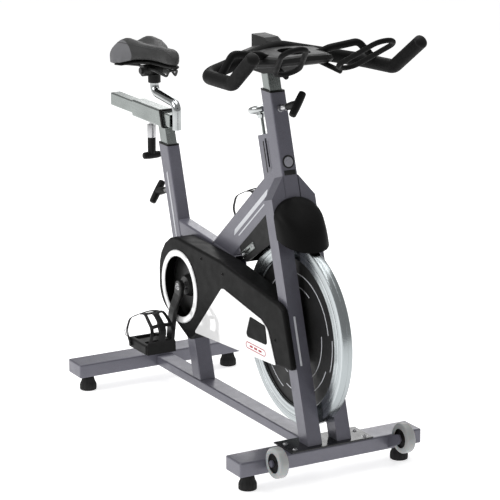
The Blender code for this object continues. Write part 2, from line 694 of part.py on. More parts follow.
def toe_cage(word, side, x, z, half_l, centre):
    """Moulded basket that rises from the front of the pedal and arches back over the shoe."""
    start = x + half_l + GAP + 0.0018
    curve = fillet_path([(start, 0, z - 0.012), (start + 0.001, 0, z + 0.020), (start + 0.014, 0, z + 0.058),
                         (x + 0.020, 0, z + 0.088), (x - 0.012, 0, z + 0.080)], [0.03, 0.022, 0.03], 3)
    columns = 9
    rows = len(curve)
    bm = bmesh.new()
    grid = []
    for r, p in enumerate(curve):
        f = r / (rows - 1)
        half = 0.041 - 0.014 * f
        crown = 0.010 * math.sin(math.pi * min(1.0, f * 1.15)) * f
        row = []
        for c in range(columns):
            g = 2 * c / (columns - 1) - 1
            row.append(bm.verts.new((p.x - 0.004 * g * g * f, side * PEDAL_Y + g * half, p.z - crown * g * g)))
        grid.append(row)
    windows = {(r, c) for r in range(3, rows - 3) for c in (1, 2, 5, 6)}
    windows -= {(rows // 2, c) for c in range(columns)}
    for r in range(rows - 1):
        for c in range(columns - 1):
            if (r, c) not in windows:
                bm.faces.new((grid[r][c], grid[r][c + 1], grid[r + 1][c + 1], grid[r + 1][c]))
    loose = [v for v in bm.verts if not v.link_faces]
    bmesh.ops.delete(bm, geom=loose, context="VERTS")
    obj = place(word + "_toe_cage", bm, black_plastic(), centre)
    thick = obj.modifiers.new("thickness", "SOLIDIFY")
    thick.thickness = 0.0032
    thick.offset = 0.0


def guard_outline(shrink=0.0):
    """Side outline of the belt guard: round behind, long top, cut along the fork in front."""
    corners = [(-0.2835, 0.462), (0.050, 0.4495), (0.335, 0.4115), (0.3565, 0.4020), (0.4050, 0.2605),
               (-0.0765, 0.2270), (-0.118, 0.1985), (-0.2835, 0.270)]
    radii = [0.105, 0.300, 0.030, 0.020, 0.012, 0.012, 0.018, 0.070]
    points = rounded(corners, radii, 6)
    if not shrink:
        return points
    n = len(points)
    moved = []
    for i, p in enumerate(points):
        tangent = (points[(i + 1) % n] - points[i - 1]).normalized()
        moved.append(p + Vector((-tangent.y, tangent.x)) * -shrink)
    return moved


def guards():
    """Outer belt cover with the round opening, inner cover, white panel and white ring."""
    wall = 0.0022
    deep = -0.0625
    x, z = CRANK
    cover = place("drive_guard_outer", prism(guard_outline(), GUARD_Y, deep, 0.006), black_plastic())
    cut(cover, prism(guard_outline(wall), GUARD_Y + wall, deep + 0.01))
    cut(cover, rod((x, GUARD_Y - 0.01, z), (x, deep + 0.01, z), 0.0800, 48))
    shrink = 0.0005
    front_cut = lean(0, HEAD_FRONT - 0.040 - 0.0010)
    inner_faces = (deep + GAP, -0.0228)
    inner = place("drive_guard_inner", prism(guard_outline(shrink), inner_faces[0], inner_faces[1]),
                  black_plastic())
    cut(inner, prism(guard_outline(shrink + wall), inner_faces[0] - 0.01, inner_faces[1] - wall))
    # the inner cover stops short of the fork leg and leaves room for the hub and the crank shell
    block = [Vector((p.x, p.z)) for p in (front_cut - UP * 1, front_cut + UP * 1,
                                          front_cut + UP * 1 + FORWARD, front_cut - UP * 1 + FORWARD)]
    cut(inner, prism(block, -0.2, 0.1))
    hub = rounded([(AXLE[0] - 0.036, AXLE[1] + 0.036), (AXLE[0] + 0.12, AXLE[1] + 0.036),
                   (AXLE[0] + 0.12, AXLE[1] - 0.036), (AXLE[0] - 0.036, AXLE[1] - 0.036)],
                  [0.03, 0, 0, 0.03], 4)
    cut(inner, prism(hub, -0.2, 0.1))
    cut(inner, rod((x, -0.05, z), (x, 0.0, z), 0.0300, 32))
    panel = rounded([(0.060, 0.3845), (0.2560, 0.3535), (0.2880, 0.3360), (0.3270, 0.2560), (-0.086, 0.2295)],
                    [0.020, 0.030, 0.030, 0.003, 0.003], 5)
    place("guard_panel", prism(panel, GUARD_Y - GAP - 0.0016, GUARD_Y - GAP), white_plastic())
    ring = [(0.0795, GUARD_Y - GAP), (0.0955, GUARD_Y - GAP), (0.0955, GUARD_Y - 0.0020),
            (0.0930, GUARD_Y - 0.0036), (0.0820, GUARD_Y - 0.0036), (0.0795, GUARD_Y - 0.0020)]
    place("guard_ring", turned(ring, (x, 0, z), (0, 1, 0), 40, ring=True), white_plastic(), smooth=True)


# ---------------------------------------------------------------- brake
def brake():
    """Rod and knob, the holder it presses, the felt pad over the rim, and the two plastic covers."""
    axis_low, axis_high = 0.4605, KNOB_A
    centre = lean(axis_high, ROD_B)
    place("resistance_rod", rod(lean(axis_low, ROD_B), lean(axis_high, ROD_B), 0.0040, 16),
          polished_steel(), centre, True)
    knob = [(0.0045, -0.0190), (0.0095, -0.0190), (0.0115, -0.0110), (0.0270, -0.0060), (0.0305, -0.0020),
            (0.0312, 0.0030), (0.0290, 0.0085), (0.0150, 0.0125), (0.0, 0.0135), (0.0, 0.0010), (0.0045, 0.0010)]
    place("resistance_knob", turned(knob, centre, UP, 32, ring=True), polished_steel(), centre, True)
    wheel_a = -AXLE[0] * math.sin(LEAN) + AXLE[1] * math.cos(LEAN)
    wheel_b = AXLE[0] * math.cos(LEAN) + AXLE[1] * math.sin(LEAN)
    pad_r = WHEEL_R + 0.0048

    def arc(b):
        return wheel_a + math.sqrt(pad_r ** 2 - (b - wheel_b) ** 2)

    rear, front, steps = ROD_B - 0.030, ROD_B + 0.030, 8
    under = [(arc(rear + (front - rear) * k / steps), rear + (front - rear) * k / steps)
             for k in range(steps + 1)]
    pad = under + [(0.4600, front), (0.4600, rear)]
    pad_centre = lean(0.4600, ROD_B)
    place("brake_pad", shape_between(pad, lean, -0.0125, 0.0125), material("felt", (0.25, 0.2, 0.15), 0.9, 0.0),
          pad_centre)
    holder = rounded([(0.4603, rear - 0.002), (0.4603, front + 0.002), (0.4700, front + 0.002),
                      (0.4790, ROD_B + 0.012), (0.4790, ROD_B - 0.012), (0.4700, rear - 0.002)],
                     [0, 0, 0.003, 0.003, 0.003, 0.003], 2)
    obj = place("brake_holder", shape_between(holder, lean, -0.0150, 0.0150), polished_steel(), pad_centre)
    cut(obj, rod(lean(0.45, ROD_B), lean(0.49, ROD_B), 0.0046, 16))
    housing()
    shield()


def housing():
    """Open-bottomed cover under the down tube that straddles the rim."""
    leg = HEAD_FRONT - 0.040 - 0.0010
    head = HEAD_FRONT - 0.048 - 0.0006
    step = HEAD_TUBE_LOW - 0.0010

    def under_tube(x, inset=0.0):
        return (x, (DOWN_LOW - GAP - inset - DOWN_SIDE.x * x) / DOWN_SIDE.z)

    def upright(a, b):
        p = lean(a, b)
        return (p.x, p.z)

    # the corner where the down tube's underside meets the plane of the head tube's rear face
    slope = DOWN_SIDE.x / DOWN_SIDE.z * math.sin(LEAN)
    corner = (head - (DOWN_LOW - GAP) / DOWN_SIDE.z * math.sin(LEAN)) / (math.cos(LEAN) - slope)
    outline = [under_tube(0.058), (0.0700, 0.4600), (0.0950, 0.4520), upright(0.4570, leg),
               upright(step, leg), upright(step, head), under_tube(corner)]
    outline = rounded(outline, [0.002, 0.004, 0.006, 0.002, 0, 0, 0], 2)
    obj = place("brake_housing", prism(outline, -0.0245, 0.0245), black_plastic())
    wall = 0.0025
    inner = [under_tube(0.0640, wall), (0.0735, 0.4640), (0.0990, 0.4550), (0.1100, 0.4000), (0.3200, 0.4000),
             (0.3200, 0.7000), under_tube(0.3200, wall)]
    cut(obj, prism(inner, -0.0220, 0.0220))
    cut(obj, rod(lean(0.49, ROD_B), lean(0.54, ROD_B), 0.0085, 16))


def shield():
    """Bulging cover over the top front of the flywheel, fixed to the fork's front."""
    top, bottom = 0.5436, 0.4020
    base = HEAD_FRONT + GAP
    rows, columns = 9, 13

    def surface(f, g, inset):
        if f < 0.5:
            half = 0.063 * math.sqrt(max(0.0, 1 - (1 - f / 0.5) ** 2)) * 0.97 + 0.002
        else:
            half = 0.063
        half -= inset
        bulge = 0.072 * math.sin(min(1.0, 0.08 + f * 1.05) * math.pi / 2)
        bulge = max(0.0032, bulge) - inset
        turn = math.pi / 2 * g
        a = top - (top - bottom - 0.045 * (1 - math.cos(turn) ** 0.8)) * f
        b = base + bulge * math.cos(turn) ** 0.8 if abs(g) < 0.999 else base
        return lean(a, b, half * math.sin(turn) if abs(g) < 0.999 else half * (1 if g > 0 else -1))

    outer, inner = [], []
    for r in range(rows):
        f = r / (rows - 1)
        outer.append([surface(f, 2 * c / (columns - 1) - 1, 0.0) for c in range(columns)])
        inner.append([surface(0.05 + 0.95 * f, 2 * c / (columns - 1) - 1, 0.0026) for c in range(columns)])
    verts = [v for row in outer for v in row] + [v for row in inner for v in row]
    shift = rows * columns

    def index(layer, r, c):
        return layer * shift + r * columns + c

    faces = []
    for r in range(rows - 1):
        for c in range(columns - 1):
            faces.append((index(0, r, c), index(0, r, c + 1), index(0, r + 1, c + 1), index(0, r + 1, c)))
            faces.append((index(1, r, c), index(1, r + 1, c), index(1, r + 1, c + 1), index(1, r, c + 1)))
    for r in range(rows - 1):
        for c in (0, columns - 1):
            faces.append((index(0, r, c), index(0, r + 1, c), index(1, r + 1, c), index(1, r, c)))
    for c in range(columns - 1):
        for r in (0, rows - 1):
            faces.append((index(0, r, c), index(0, r, c + 1), index(1, r, c + 1), index(1, r, c)))
    place("brake_shield", solid(verts, faces), black_plastic(), smooth=True)


# ---------------------------------------------------------------- saddle side
def seat_post():
    """Post that slides in the seat tube, with the slider's sleeve welded on its top."""
    b = SEAT_FRONT - 0.0251
    level = (0, 0, 1)
    sleeve_low = SLIDER_Z - 0.0223
    origin = lean(SEAT_PIN_A, b)
    bm = tube(lean(0, b), UP, FORWARD, 0.0395, 0.0290, 0.0022, (lean(0.4050, 0), UP),
              ((0, 0, sleeve_low - GAP), level), 0.003)
    place("seat_post", bm, polished_steel(), origin)
    front_plane = (lean(0, -0.1330), FORWARD)
    bm = tube((0, 0, SLIDER_Z), (1, 0, 0), (0, 0, 1), 0.0446, 0.0410, 0.0046,
              ((-0.5335, 0, 0), (1, 0, 0)), front_plane, 0.004)
    sleeve = place("slider_sleeve", bm, polished_steel(), origin)
    cut(sleeve, rod((LOCK_X, 0, sleeve_low - 0.01), (LOCK_X, 0, sleeve_low + 0.01), 0.0066, 16))


def slider():
    """Rectangular slider with the bent saddle post welded to its front end."""
    bm = tube((0, 0, SLIDER_Z), (1, 0, 0), (0, 0, 1), 0.0346, 0.0312, 0.0020, ((-0.6705, 0, 0), (1, 0, 0)),
              ((SADDLE_POST_X - SADDLE_POST_R - GAP, 0, 0), (1, 0, 0)), 0.003)
    origin = (SADDLE_POST_X, 0, SLIDER_Z)
    place("seat_slider", bm, polished_steel(), origin)
    path = fillet_path([(SADDLE_POST_X, 0, 0.7070), (SADDLE_POST_X, 0, 0.7750),
                        (SADDLE_X, 0, 0.7870), (SADDLE_X, 0, 0.8300)], [0.022, 0.022], 6)
    place("saddle_post", swept(path, SADDLE_POST_R, 20), material("chrome", STEEL, 0.1, 1.0), origin, True)


def slider_lock():
    """Screw with a black T handle that clamps the slider from below."""
    centre = (LOCK_X, 0, 0.6950)
    profile = [(0, 0.0150), (0.0060, 0.0150), (0.0060, -0.0002 + GAP), (0.0118, -0.0002 + GAP), (0.0118, -0.034),
               (0.0108, -0.037), (0.0108, -0.072), (0.0085, -0.088), (0, -0.088)]
    screw = place("slider_lock", turned(profile, centre, (0, 0, 1), 20), black_plastic(), centre, True)
    bar = turned([(0, -0.026), (0.006, -0.026), (0.0090, -0.023), (0.0095, 0), (0.0090, 0.023), (0.006, 0.026),
                  (0, 0.026)], (LOCK_X, 0, 0.6115), (0, 1, 0), 16)
    join(screw, bar)


def pull_pin(name, face_point, outward):
    """Spring pin with a guide neck and a T handle set askew."""
    neck = 0.0500
    reach = 0.0835
    profile = [(0, -0.0048), (PIN_R, -0.0048), (PIN_R, GAP), (0.0085, GAP), (0.0085, 0.018), (0.0070, 0.021),
               (0.0070, 0.036), (0.0085, 0.040), (0.0095, neck), (0.0105, 0.060), (0.0098, reach),
               (0, reach)]
    obj = place(name, turned(profile, face_point, outward, 20), black_plastic(), face_point, True)
    tilt = math.radians(36.8)
    direction = UP * math.cos(tilt) + Vector((0, math.sin(tilt), 0))
    middle = Vector(face_point) + Vector(outward) * reach
    bar = turned([(0, -0.0340), (0.006, -0.0337), (0.0095, -0.0300), (0.0102, 0), (0.0095, 0.0300),
                  (0.006, 0.0337), (0, 0.0340)], middle, direction, 16)
    join(obj, bar)


def saddle():
    """Post clamp, the two cheeks that hold the rails, the rails, the shell and the cushion."""
    tilt = (SADDLE_X, 0, TILT_Z)
    clamp = place("saddle_clamp", pipe((SADDLE_X, 0, 0.8120), (SADDLE_X, 0, 0.8345), 0.0168,
                                       SADDLE_POST_R + GAP, 24), black_plastic(), tilt, True)
    join(clamp, rod((SADDLE_X, -0.0167, TILT_Z), (SADDLE_X, 0.0167, TILT_Z), 0.0150, 24))
    cut(clamp, rod((SADDLE_X, -0.03, TILT_Z), (SADDLE_X, 0.03, TILT_Z), 0.0055, 16))
    rail_y = 0.0225
    bolt = [(0, -0.042), (0.0085, -0.042), (0.0085, -0.036), (0.0155, -0.036), (0.0155, -0.0172), (0.005, -0.0172),
            (0.005, 0.0172), (0.0155, 0.0172), (0.0155, 0.036), (0.0085, 0.036), (0.0085, 0.042), (0, 0.042)]
    cheeks = place("saddle_cheeks", turned(bolt, tilt, (0, 1, 0), 24), black_paint(), tilt, True)
    for side in (-1, 1):
        cut(cheeks, rod((SADDLE_X - 0.04, side * rail_y, TILT_Z + 0.006),
                        (SADDLE_X + 0.04, side * rail_y, TILT_Z + 0.006), 0.0039, 12))
    rails(rail_y, tilt)
    saddle_shell(tilt)


def rails(rail_y, tilt):
    z = TILT_Z + 0.006
    half = [(-0.5330, 0.0420, 0.8640), (-0.5330, 0.0420, 0.8500), (-0.4900, rail_y, z), (-0.3900, rail_y, z),
            (-0.3480, 0.0130, 0.8440), (-0.3360, 0.0120, 0.8605)]
    right = [(x, -y, zz) for x, y, zz in half]
    corners = right + [(x, y, zz) for x, y, zz in reversed(half)]
    radii = [0.008, 0.02, 0.02, 0.007, 0.006, 0.006, 0.007, 0.02, 0.02, 0.008]
    path = fillet_path(corners, radii, 3)
    place("saddle_rails", swept(path, 0.0035, 8), black_paint(), tilt, True)


def saddle_half_width(f):
    """Half width of the saddle from tail (f = 0) to nose (f = 1)."""
    wing = SADDLE_HALF * (1 - 0.10 * (1 - min(1.0, f / 0.16)) ** 2)
    waist = 0.0230
    blend = 1 / (1 + math.exp((f - 0.44) * 13))
    tip = math.sqrt(max(0.0, 1 - max(0.0, (f - 0.86) / 0.14) ** 2 * 0.999))
    tail = math.sqrt(max(0.0, 1 - max(0.0, (0.06 - f) / 0.06) ** 2 * 0.75))
    return (waist + (wing - waist) * blend) * tip * tail


def saddle_body(height_top, height_low, end_inset, side_inset, rows, around):
    """Closed lofted body: one ring of points across the saddle for each row."""
    loops = []
    for r in range(rows):
        f = r / (rows - 1)
        f = 0.5 - 0.5 * math.cos(math.pi * f)
        x = SADDLE_REAR + end_inset + (SADDLE_NOSE - SADDLE_REAR - 2 * end_inset) * f
        half = max(0.004, saddle_half_width(f) * (1 - side_inset))
        loop = []
        for k in range(around):
            turn = 2 * math.pi * k / around
            y = half * math.copysign(abs(math.cos(turn)) ** 0.72, math.cos(turn))
            s = math.sin(turn)
            if s >= 0:
                z = height_low(f, y) + (height_top(f, y) - height_low(f, y)) * (0.5 + 0.5 * s ** 0.6)
            else:
                z = height_low(f, y) + (height_top(f, y) - height_low(f, y)) * (0.5 - 0.5 * (-s) ** 0.4)
            loop.append(Vector((x, y, z)))
        loops.append(loop)
    return loops_to_solid(loops)


def saddle_shell(tilt):
    def cushion_top(f, y):
        fade = math.exp(-((f - 0.20) / 0.24) ** 2)
        hump = 0.0200 * fade * math.exp(-((abs(y) - 0.034) / 0.027) ** 2)
        level = 0.9010 + 0.0080 * min(1.0, max(0.0, (f - 0.30) / 0.30))
        nose = 0.0050 * math.exp(-((f - 0.84) / 0.12) ** 2) - 0.016 * max(0.0, (f - 0.90) / 0.10) ** 2
        tail = 0.016 * max(0.0, (0.10 - f) / 0.10) ** 2
        edge = 0.008 * max(0.0, (abs(y) - 0.055) / 0.030) ** 2
        return level + hump + nose - tail - edge

    def cushion_low(f, y):
        across = abs(y) / SADDLE_HALF
        return 0.8700 + 0.005 * f - 0.004 * across ** 2 - 0.032 * across ** 4

    def shell_top(f, y):
        return cushion_low(f, y) - GAP * 2

    def shell_low(f, y):
        return shell_top(f, y) - 0.0075

    cushion = saddle_body(cushion_top, cushion_low, 0.0, 0.0, 12, 24)
    place("saddle_cushion", cushion, material("vinyl", (0.03, 0.03, 0.03), 0.6, 0.0), tilt, True)
    base = place("saddle_base", saddle_body(shell_top, shell_low, 0.006, 0.16, 10, 16), black_plastic(), tilt, True)
    for side in (-1, 1):
        cut(base, rod((-0.5330, side * 0.0420, 0.84), (-0.5330, side * 0.0420, 0.90), 0.0060, 12))


# ---------------------------------------------------------------- handlebar side
def handlebar_post():
    b = HEAD_FRONT - 0.024
    origin = lean(BAR_PIN_A, b)
    bm = tube(lean(0, b), UP, FORWARD, 0.0325, 0.0342, 0.0022, (lean(0.5700, 0), UP),
              ((0, 0, 0.9435), (0, 0, 1)), 0.003)
    place("handlebar_post", bm, polished_steel(), origin)
    return origin


def bar_line():
    """Middle line of the main bar: horn, grip, rear corner and the arched crosspiece."""
    half = [(0.4760, 0.2260, 1.0435), (0.3720, 0.2200, 0.9680), (0.2280, 0.2140, 0.9625),
            (BAR_X, 0.0, BAR_Z)]
    corners = [(x, -y, z) for x, y, z in half] + [(x, y, z) for x, y, z in reversed(half[:-1])]
    return fillet_path(corners, [0.040, 0.045, 0.100, 0.045, 0.040], 6)


def handlebar(origin):
    """Coated bar: arched crosspiece, forward grips and raised horns, with inner rods and loops."""
    path = bar_line()
    bars = place("handlebar", swept(path, BAR_R, 12), rubber(), origin, True)
    for side in (-1, 1):
        tip, before = (path[0], path[0] - path[1]) if side < 0 else (path[-1], path[-1] - path[-2])
        cap = turned([(0, 0.008), (0.009, 0.0065), (0.0145, 0.0025), (0.0165, 0.0), (0.0165, -0.004), (0, -0.004)],
                     tip, before, 12)
        join(bars, cap)
        join(bars, swept(brace_path(side), 0.0090, 10))
        join(bars, swept(loop_path(side), 0.0064, 10, closed=True))
        join(bars, swept(strut_path(side), 0.0064, 10))


def brace_path(side):
    """Rod from the tray outward and down into the grip."""
    corners = [(0.262, 0.050, 0.9880), (0.280, 0.095, 1.0100), (0.288, 0.172, 1.0200), (0.303, 0.2165, 0.9690)]
    return fillet_path([(x, side * y, z) for x, y, z in corners], [0.030, 0.022], 4)


def strut_path(side):
    """Rod under the tray that carries the inner loop."""
    corners = [(0.196, 0.052, 0.9960), (0.300, 0.062, 0.9820), (0.368, 0.074, 0.9700)]
    return fillet_path([(x, side * y, z) for x, y, z in corners], [0.05], 3)


def loop_path(side):
    """Long oval loop that rises forward from the tray, in the plane of the horns."""
    slope = Vector((1.0, 0.0, 0.64)).normalized()
    turn = math.radians(19.0)
    out = Vector((0, side, 0))
    along = slope * math.cos(turn) + out * math.sin(turn)
    across = -slope * math.sin(turn) + out * math.cos(turn)
    centre = Vector((0.4340, side * 0.1015, 1.0185))
    straight, radius = 0.0490, 0.0300
    points = []
    for end in (1, -1):
        for k in range(9):
            angle = -math.pi / 2 + math.pi * k / 8
            points.append(centre + along * end * (straight + radius * math.cos(angle))
                          + across * end * radius * math.sin(angle))
    return points


def tray(origin):
    """Moulded tray over the middle of the bar, with a hollow for a bottle and a raised block."""
    plan = [(0.150, -0.046), (0.172, -0.100), (0.240, -0.106), (0.338, -0.076), (0.346, 0.0),
            (0.338, 0.076), (0.240, 0.106), (0.172, 0.100), (0.150, 0.046)]
    outline = rounded(plan, [0.02, 0.02, 0.03, 0.02, 0, 0.02, 0.03, 0.02, 0.02], 3)
    levels = [(0.9640, 0.02, 1.0), (0.9640, 0.45, 1.0), (0.9640, 0.88, 1.0), (0.9670, 0.95, 1.0),
              (0.9760, 1.0, 0.9), (1.0010, 1.0, 0.0), (1.0080, 0.95, 0.0), (1.0105, 0.86, 0.0),
              (1.0105, 0.45, 0.0), (1.0105, 0.02, 0.0)]
    centre = Vector((0.250, 0.0))
    loops = []
    for z, size, low in levels:
        loop = []
        for p in outline:
            x, y = centre.x + (p.x - centre.x) * size, p.y * size
            rise = low * 0.16 * max(0.0, x - 0.200) - (1 - low) * 0.90 * y * y
            loop.append(Vector((x, y, z + rise)))
        loops.append(loop)
    obj = place("bottle_tray", loops_to_solid(loops), black_plastic(), origin, True)
    hollow = rounded([(0.232, -0.036), (0.322, -0.036), (0.322, 0.036), (0.232, 0.036)], 0.030, 5)
    loops = [[Vector((0.277 + (p.x - 0.277) * s, p.y * s, z)) for p in hollow]
             for z, s in ((0.9900, 0.84), (0.9950, 0.92), (1.0400, 1.0))]
    cut(obj, loops_to_solid(loops))
    mount = rounded([(0.1330, 0.9440), (0.1900, 0.9440), (0.2450, 0.9560), (0.2700, 0.9850), (0.1330, 0.9850)],
                    [0.004, 0.02, 0.01, 0, 0], 3)
    join(obj, prism(mount, -0.0330, 0.0330))
    join(obj, prism([(0.1080, 0.9880), (0.2300, 0.9880), (0.2300, 1.0000), (0.1700, 1.0275), (0.1080, 1.0275)],
                    -0.0190, 0.0190))
    return obj


def bar_channel(obj):
    """Clear the tray round the bar and the inner rods."""
    cut(obj, swept([p for p in bar_line() if abs(p.y) < 0.20], BAR_R + GAP * 3, 14))
    for side in (-1, 1):
        brace = brace_path(side)
        start = brace[0] + (brace[0] - brace[1]).normalized() * 0.003
        cut(obj, swept([start] + brace, 0.0100, 10))
        cut(obj, swept(strut_path(side), 0.0074, 10))


# ---------------------------------------------------------------- wheels
def transport_wheels():
    for name, side in (("right_transport_wheel", -1), ("left_transport_wheel", 1)):
        centre = (TRANSPORT_X, side * TRANSPORT_Y, TRANSPORT_Z)
        r = TRANSPORT_R
        profile = [(0.0056, -0.0110), (0.0120, -0.0110), (0.0140, -0.0080), (0.0230, -0.0080), (0.0245, -0.0120),
                   (r - 0.004, -0.0120), (r, -0.0080), (r, 0.0080), (r - 0.004, 0.0120), (0.0245, 0.0120),
                   (0.0230, 0.0080), (0.0140, 0.0080), (0.0120, 0.0110), (0.0056, 0.0110)]
        place(name, turned(profile, centre, (0, 1, 0), 20, ring=True), white_plastic(), centre, True)


def build():
    for obj in list(bpy.data.objects):
        bpy.data.objects.remove(obj)
    floor_bars()
    feet()
    bottom_beam()
    seat_uprights()
    seat_bush()
    beam_top, beam_side = center_beam()
    down_tube(beam_top, beam_side)
    head_tube()
    head_bush()
    fork()
    bottom_bracket()
    flywheel()
    pulleys()
    belt()
    cranks()
    guards()
    brake()
    seat_post()
    slider()
    slider_lock()
    depth = 0.0502
    pull_pin("seat_height_pin", lean(SEAT_PIN_A, SEAT_FRONT - depth), -FORWARD)
    pull_pin("handlebar_pin", lean(BAR_PIN_A, HEAD_FRONT), FORWARD)
    saddle()
    origin = handlebar_post()
    handlebar(origin)
    bar_channel(tray(origin))
    transport_wheels()


build()
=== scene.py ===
"""Finishes, soft goods, small fittings, light and camera for the indoor cycling bike.

Metres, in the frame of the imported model: +X is the front of the bike, +Y the rider's left, +Z up.
Positions are given in the bike's own frame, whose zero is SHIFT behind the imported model's zero.
"""
import math

import bmesh
import bpy
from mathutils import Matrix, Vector
from mathutils.bvhtree import BVHTree


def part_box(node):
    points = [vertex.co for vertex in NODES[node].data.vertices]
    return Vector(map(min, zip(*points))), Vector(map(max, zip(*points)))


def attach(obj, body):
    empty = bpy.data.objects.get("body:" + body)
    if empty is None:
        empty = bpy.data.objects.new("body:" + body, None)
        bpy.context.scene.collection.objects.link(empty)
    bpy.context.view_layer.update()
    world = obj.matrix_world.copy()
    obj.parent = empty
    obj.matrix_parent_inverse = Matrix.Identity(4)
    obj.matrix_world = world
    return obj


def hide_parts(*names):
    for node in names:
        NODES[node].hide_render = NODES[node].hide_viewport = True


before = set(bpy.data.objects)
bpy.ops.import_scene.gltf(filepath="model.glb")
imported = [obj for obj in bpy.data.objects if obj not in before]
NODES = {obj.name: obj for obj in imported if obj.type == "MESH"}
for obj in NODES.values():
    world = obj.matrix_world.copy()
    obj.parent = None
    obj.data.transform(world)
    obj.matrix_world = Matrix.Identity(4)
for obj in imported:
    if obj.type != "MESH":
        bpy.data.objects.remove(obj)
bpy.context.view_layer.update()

SHIFT = Vector((0.0625, 0.0, 0.0))
LEAN = math.radians(17.2)
CRANK = Vector((-0.167, 0.0, 0.3314))
AXLE = Vector((0.306, 0.0, 0.3225))
HEAD_FRONT = 0.460
SEAT_FRONT = -0.1258
BAR_R = 0.017
PEDAL_Y = 0.1415
CRANK_LENGTH = 0.155
CRANK_ANGLE = math.radians(-101.0)
RIM_INNER = 0.182          # radius where the flywheel's thin web meets its rim
BOSS_OUTER = 0.038         # radius where the web meets the boss
WHEEL_BOSS = 0.0360        # radius of the bright boss
WHEEL_RIM = 0.1850         # radius where the bright rim begins
PULL_PIN_REACH = 0.0835    # from a pull pin's face to its cross handle
STRAP_WIDTH = 0.0105
STRAP_THICK = 0.0018
PRINT_THICK = 0.0003       # height of a stripe above its tube
PRINT_EDGE = 0.0001
FLOOR_GLOW = 0.70
WORLD_LIGHT = 0.36
Y_AXIS = Vector((0.0, 1.0, 0.0))


def lean(a, b, y=0.0):
    """Point of the leaning frame: a up along the tubes, b forward across them."""
    return Vector((-a * math.sin(LEAN) + b * math.cos(LEAN), y, a * math.cos(LEAN) + b * math.sin(LEAN)))


UP = lean(1.0, 0.0)
FORWARD = lean(0.0, 1.0)


# ---------------------------------------------------------------- material building
class Look:
    """One procedural material: a principled shader with helpers that wire its inputs."""

    def __init__(self, name, metallic=0.0, **fixed):
        self.material = bpy.data.materials.new(name)
        self.material.use_nodes = True
        self.tree = self.material.node_tree
        self.shader = self.tree.nodes["Principled BSDF"]
        self.shader.inputs["Metallic"].default_value = metallic
        for socket, value in fixed.items():
            self.shader.inputs[socket.replace("_", " ")].default_value = value
        self.coords = self.tree.nodes.new("ShaderNodeTexCoord").outputs["Object"]
        self.height = None

    def node(self, kind, inputs=(), **settings):
        node = self.tree.nodes.new(kind)
        for key, value in settings.items():
            setattr(node, key, value)
        for key, value in dict(inputs).items():
            if isinstance(value, bpy.types.NodeSocket):
                self.tree.links.new(value, node.inputs[key])
            else:
                node.inputs[key].default_value = value
        return node

    def noise(self, scale, detail=3.0, stretch=(1.0, 1.0, 1.0), rough=0.5):
        place = self.node("ShaderNodeMapping", {"Vector": self.coords, "Scale": stretch})
        return self.node("ShaderNodeTexNoise", {"Vector": place.outputs[0], "Scale": scale,
                                                "Detail": detail, "Roughness": rough}).outputs["Fac"]

    def cells(self, scale, stretch=(1.0, 1.0, 1.0)):
        place = self.node("ShaderNodeMapping", {"Vector": self.coords, "Scale": stretch})
        voronoi = self.node("ShaderNodeTexVoronoi", {"Vector": place.outputs[0], "Scale": scale})
        return voronoi.outputs["Distance"]

    def spread(self, value, low, high, start=0.3, end=0.7):
        return self.node("ShaderNodeMapRange", {0: value, 1: start, 2: end, 3: low, 4: high}).outputs[0]

    def maths(self, operation, first, second=0.0):
        return self.node("ShaderNodeMath", {0: first, 1: second}, operation=operation).outputs[0]

    def mix(self, factor, first, second):
        as_colour = [(*c, 1.0) if isinstance(c, tuple) else c for c in (first, second)]
        return self.node("ShaderNodeMix", {0: factor, 6: as_colour[0], 7: as_colour[1]},
                         data_type="RGBA").outputs[2]

    def along(self, origin, direction):
        """Distance from origin along a direction, in metres."""
        start = self.node("ShaderNodeVectorMath", {0: self.coords, 1: tuple(origin)}, operation="SUBTRACT")
        return self.node("ShaderNodeVectorMath", {0: start.outputs[0], 1: tuple(direction)},
                         operation="DOT_PRODUCT").outputs["Value"]

    def radius(self, centre, keep=(1.0, 0.0, 1.0)):
        """Distance from an axis through centre; keep says which directions count, and how much."""
        start = self.node("ShaderNodeVectorMath", {0: self.coords, 1: tuple(centre)}, operation="SUBTRACT")
        flat = self.node("ShaderNodeVectorMath", {0: start.outputs[0], 1: keep}, operation="MULTIPLY")
        return self.node("ShaderNodeVectorMath", {0: flat.outputs[0]}, operation="LENGTH").outputs["Value"]

    def step(self, value, edge, softness=0.0004):
        return self.spread(value, 0.0, 1.0, edge - softness, edge + softness)

    def set(self, socket, value):
        if isinstance(value, bpy.types.NodeSocket):
            self.tree.links.new(value, self.shader.inputs[socket])
        else:
            self.shader.inputs[socket].default_value = value

    def bump(self, value, depth):
        inputs = {"Height": value, "Distance": depth, "Strength": 1.0}
        if self.height is not None:
            inputs["Normal"] = self.height
        self.height = self.node("ShaderNodeBump", inputs).outputs[0]
        self.tree.links.new(self.height, self.shader.inputs["Normal"])


def scaled(colour, factor):
    return tuple(c * factor for c in colour)


def moulded(name, colour, rough, grain=700.0, depth=0.00012, vary=0.18, metallic=0.0, **fixed):
    """Moulded or coated surface: fine grain, uneven gloss and a slight change of shade."""
    look = Look(name, metallic, **fixed)
    broad = look.noise(9.0, 4.0)
    fine = look.noise(grain, 2.0)
    look.set("Base Color", look.mix(look.spread(broad, 0.0, 1.0), scaled(colour, 1 - vary),
                                    scaled(colour, 1 + vary)))
    look.set("Roughness", look.spread(look.noise(38.0, 5.0), rough - 0.06, rough + 0.07))
    look.bump(fine, depth)
    return look


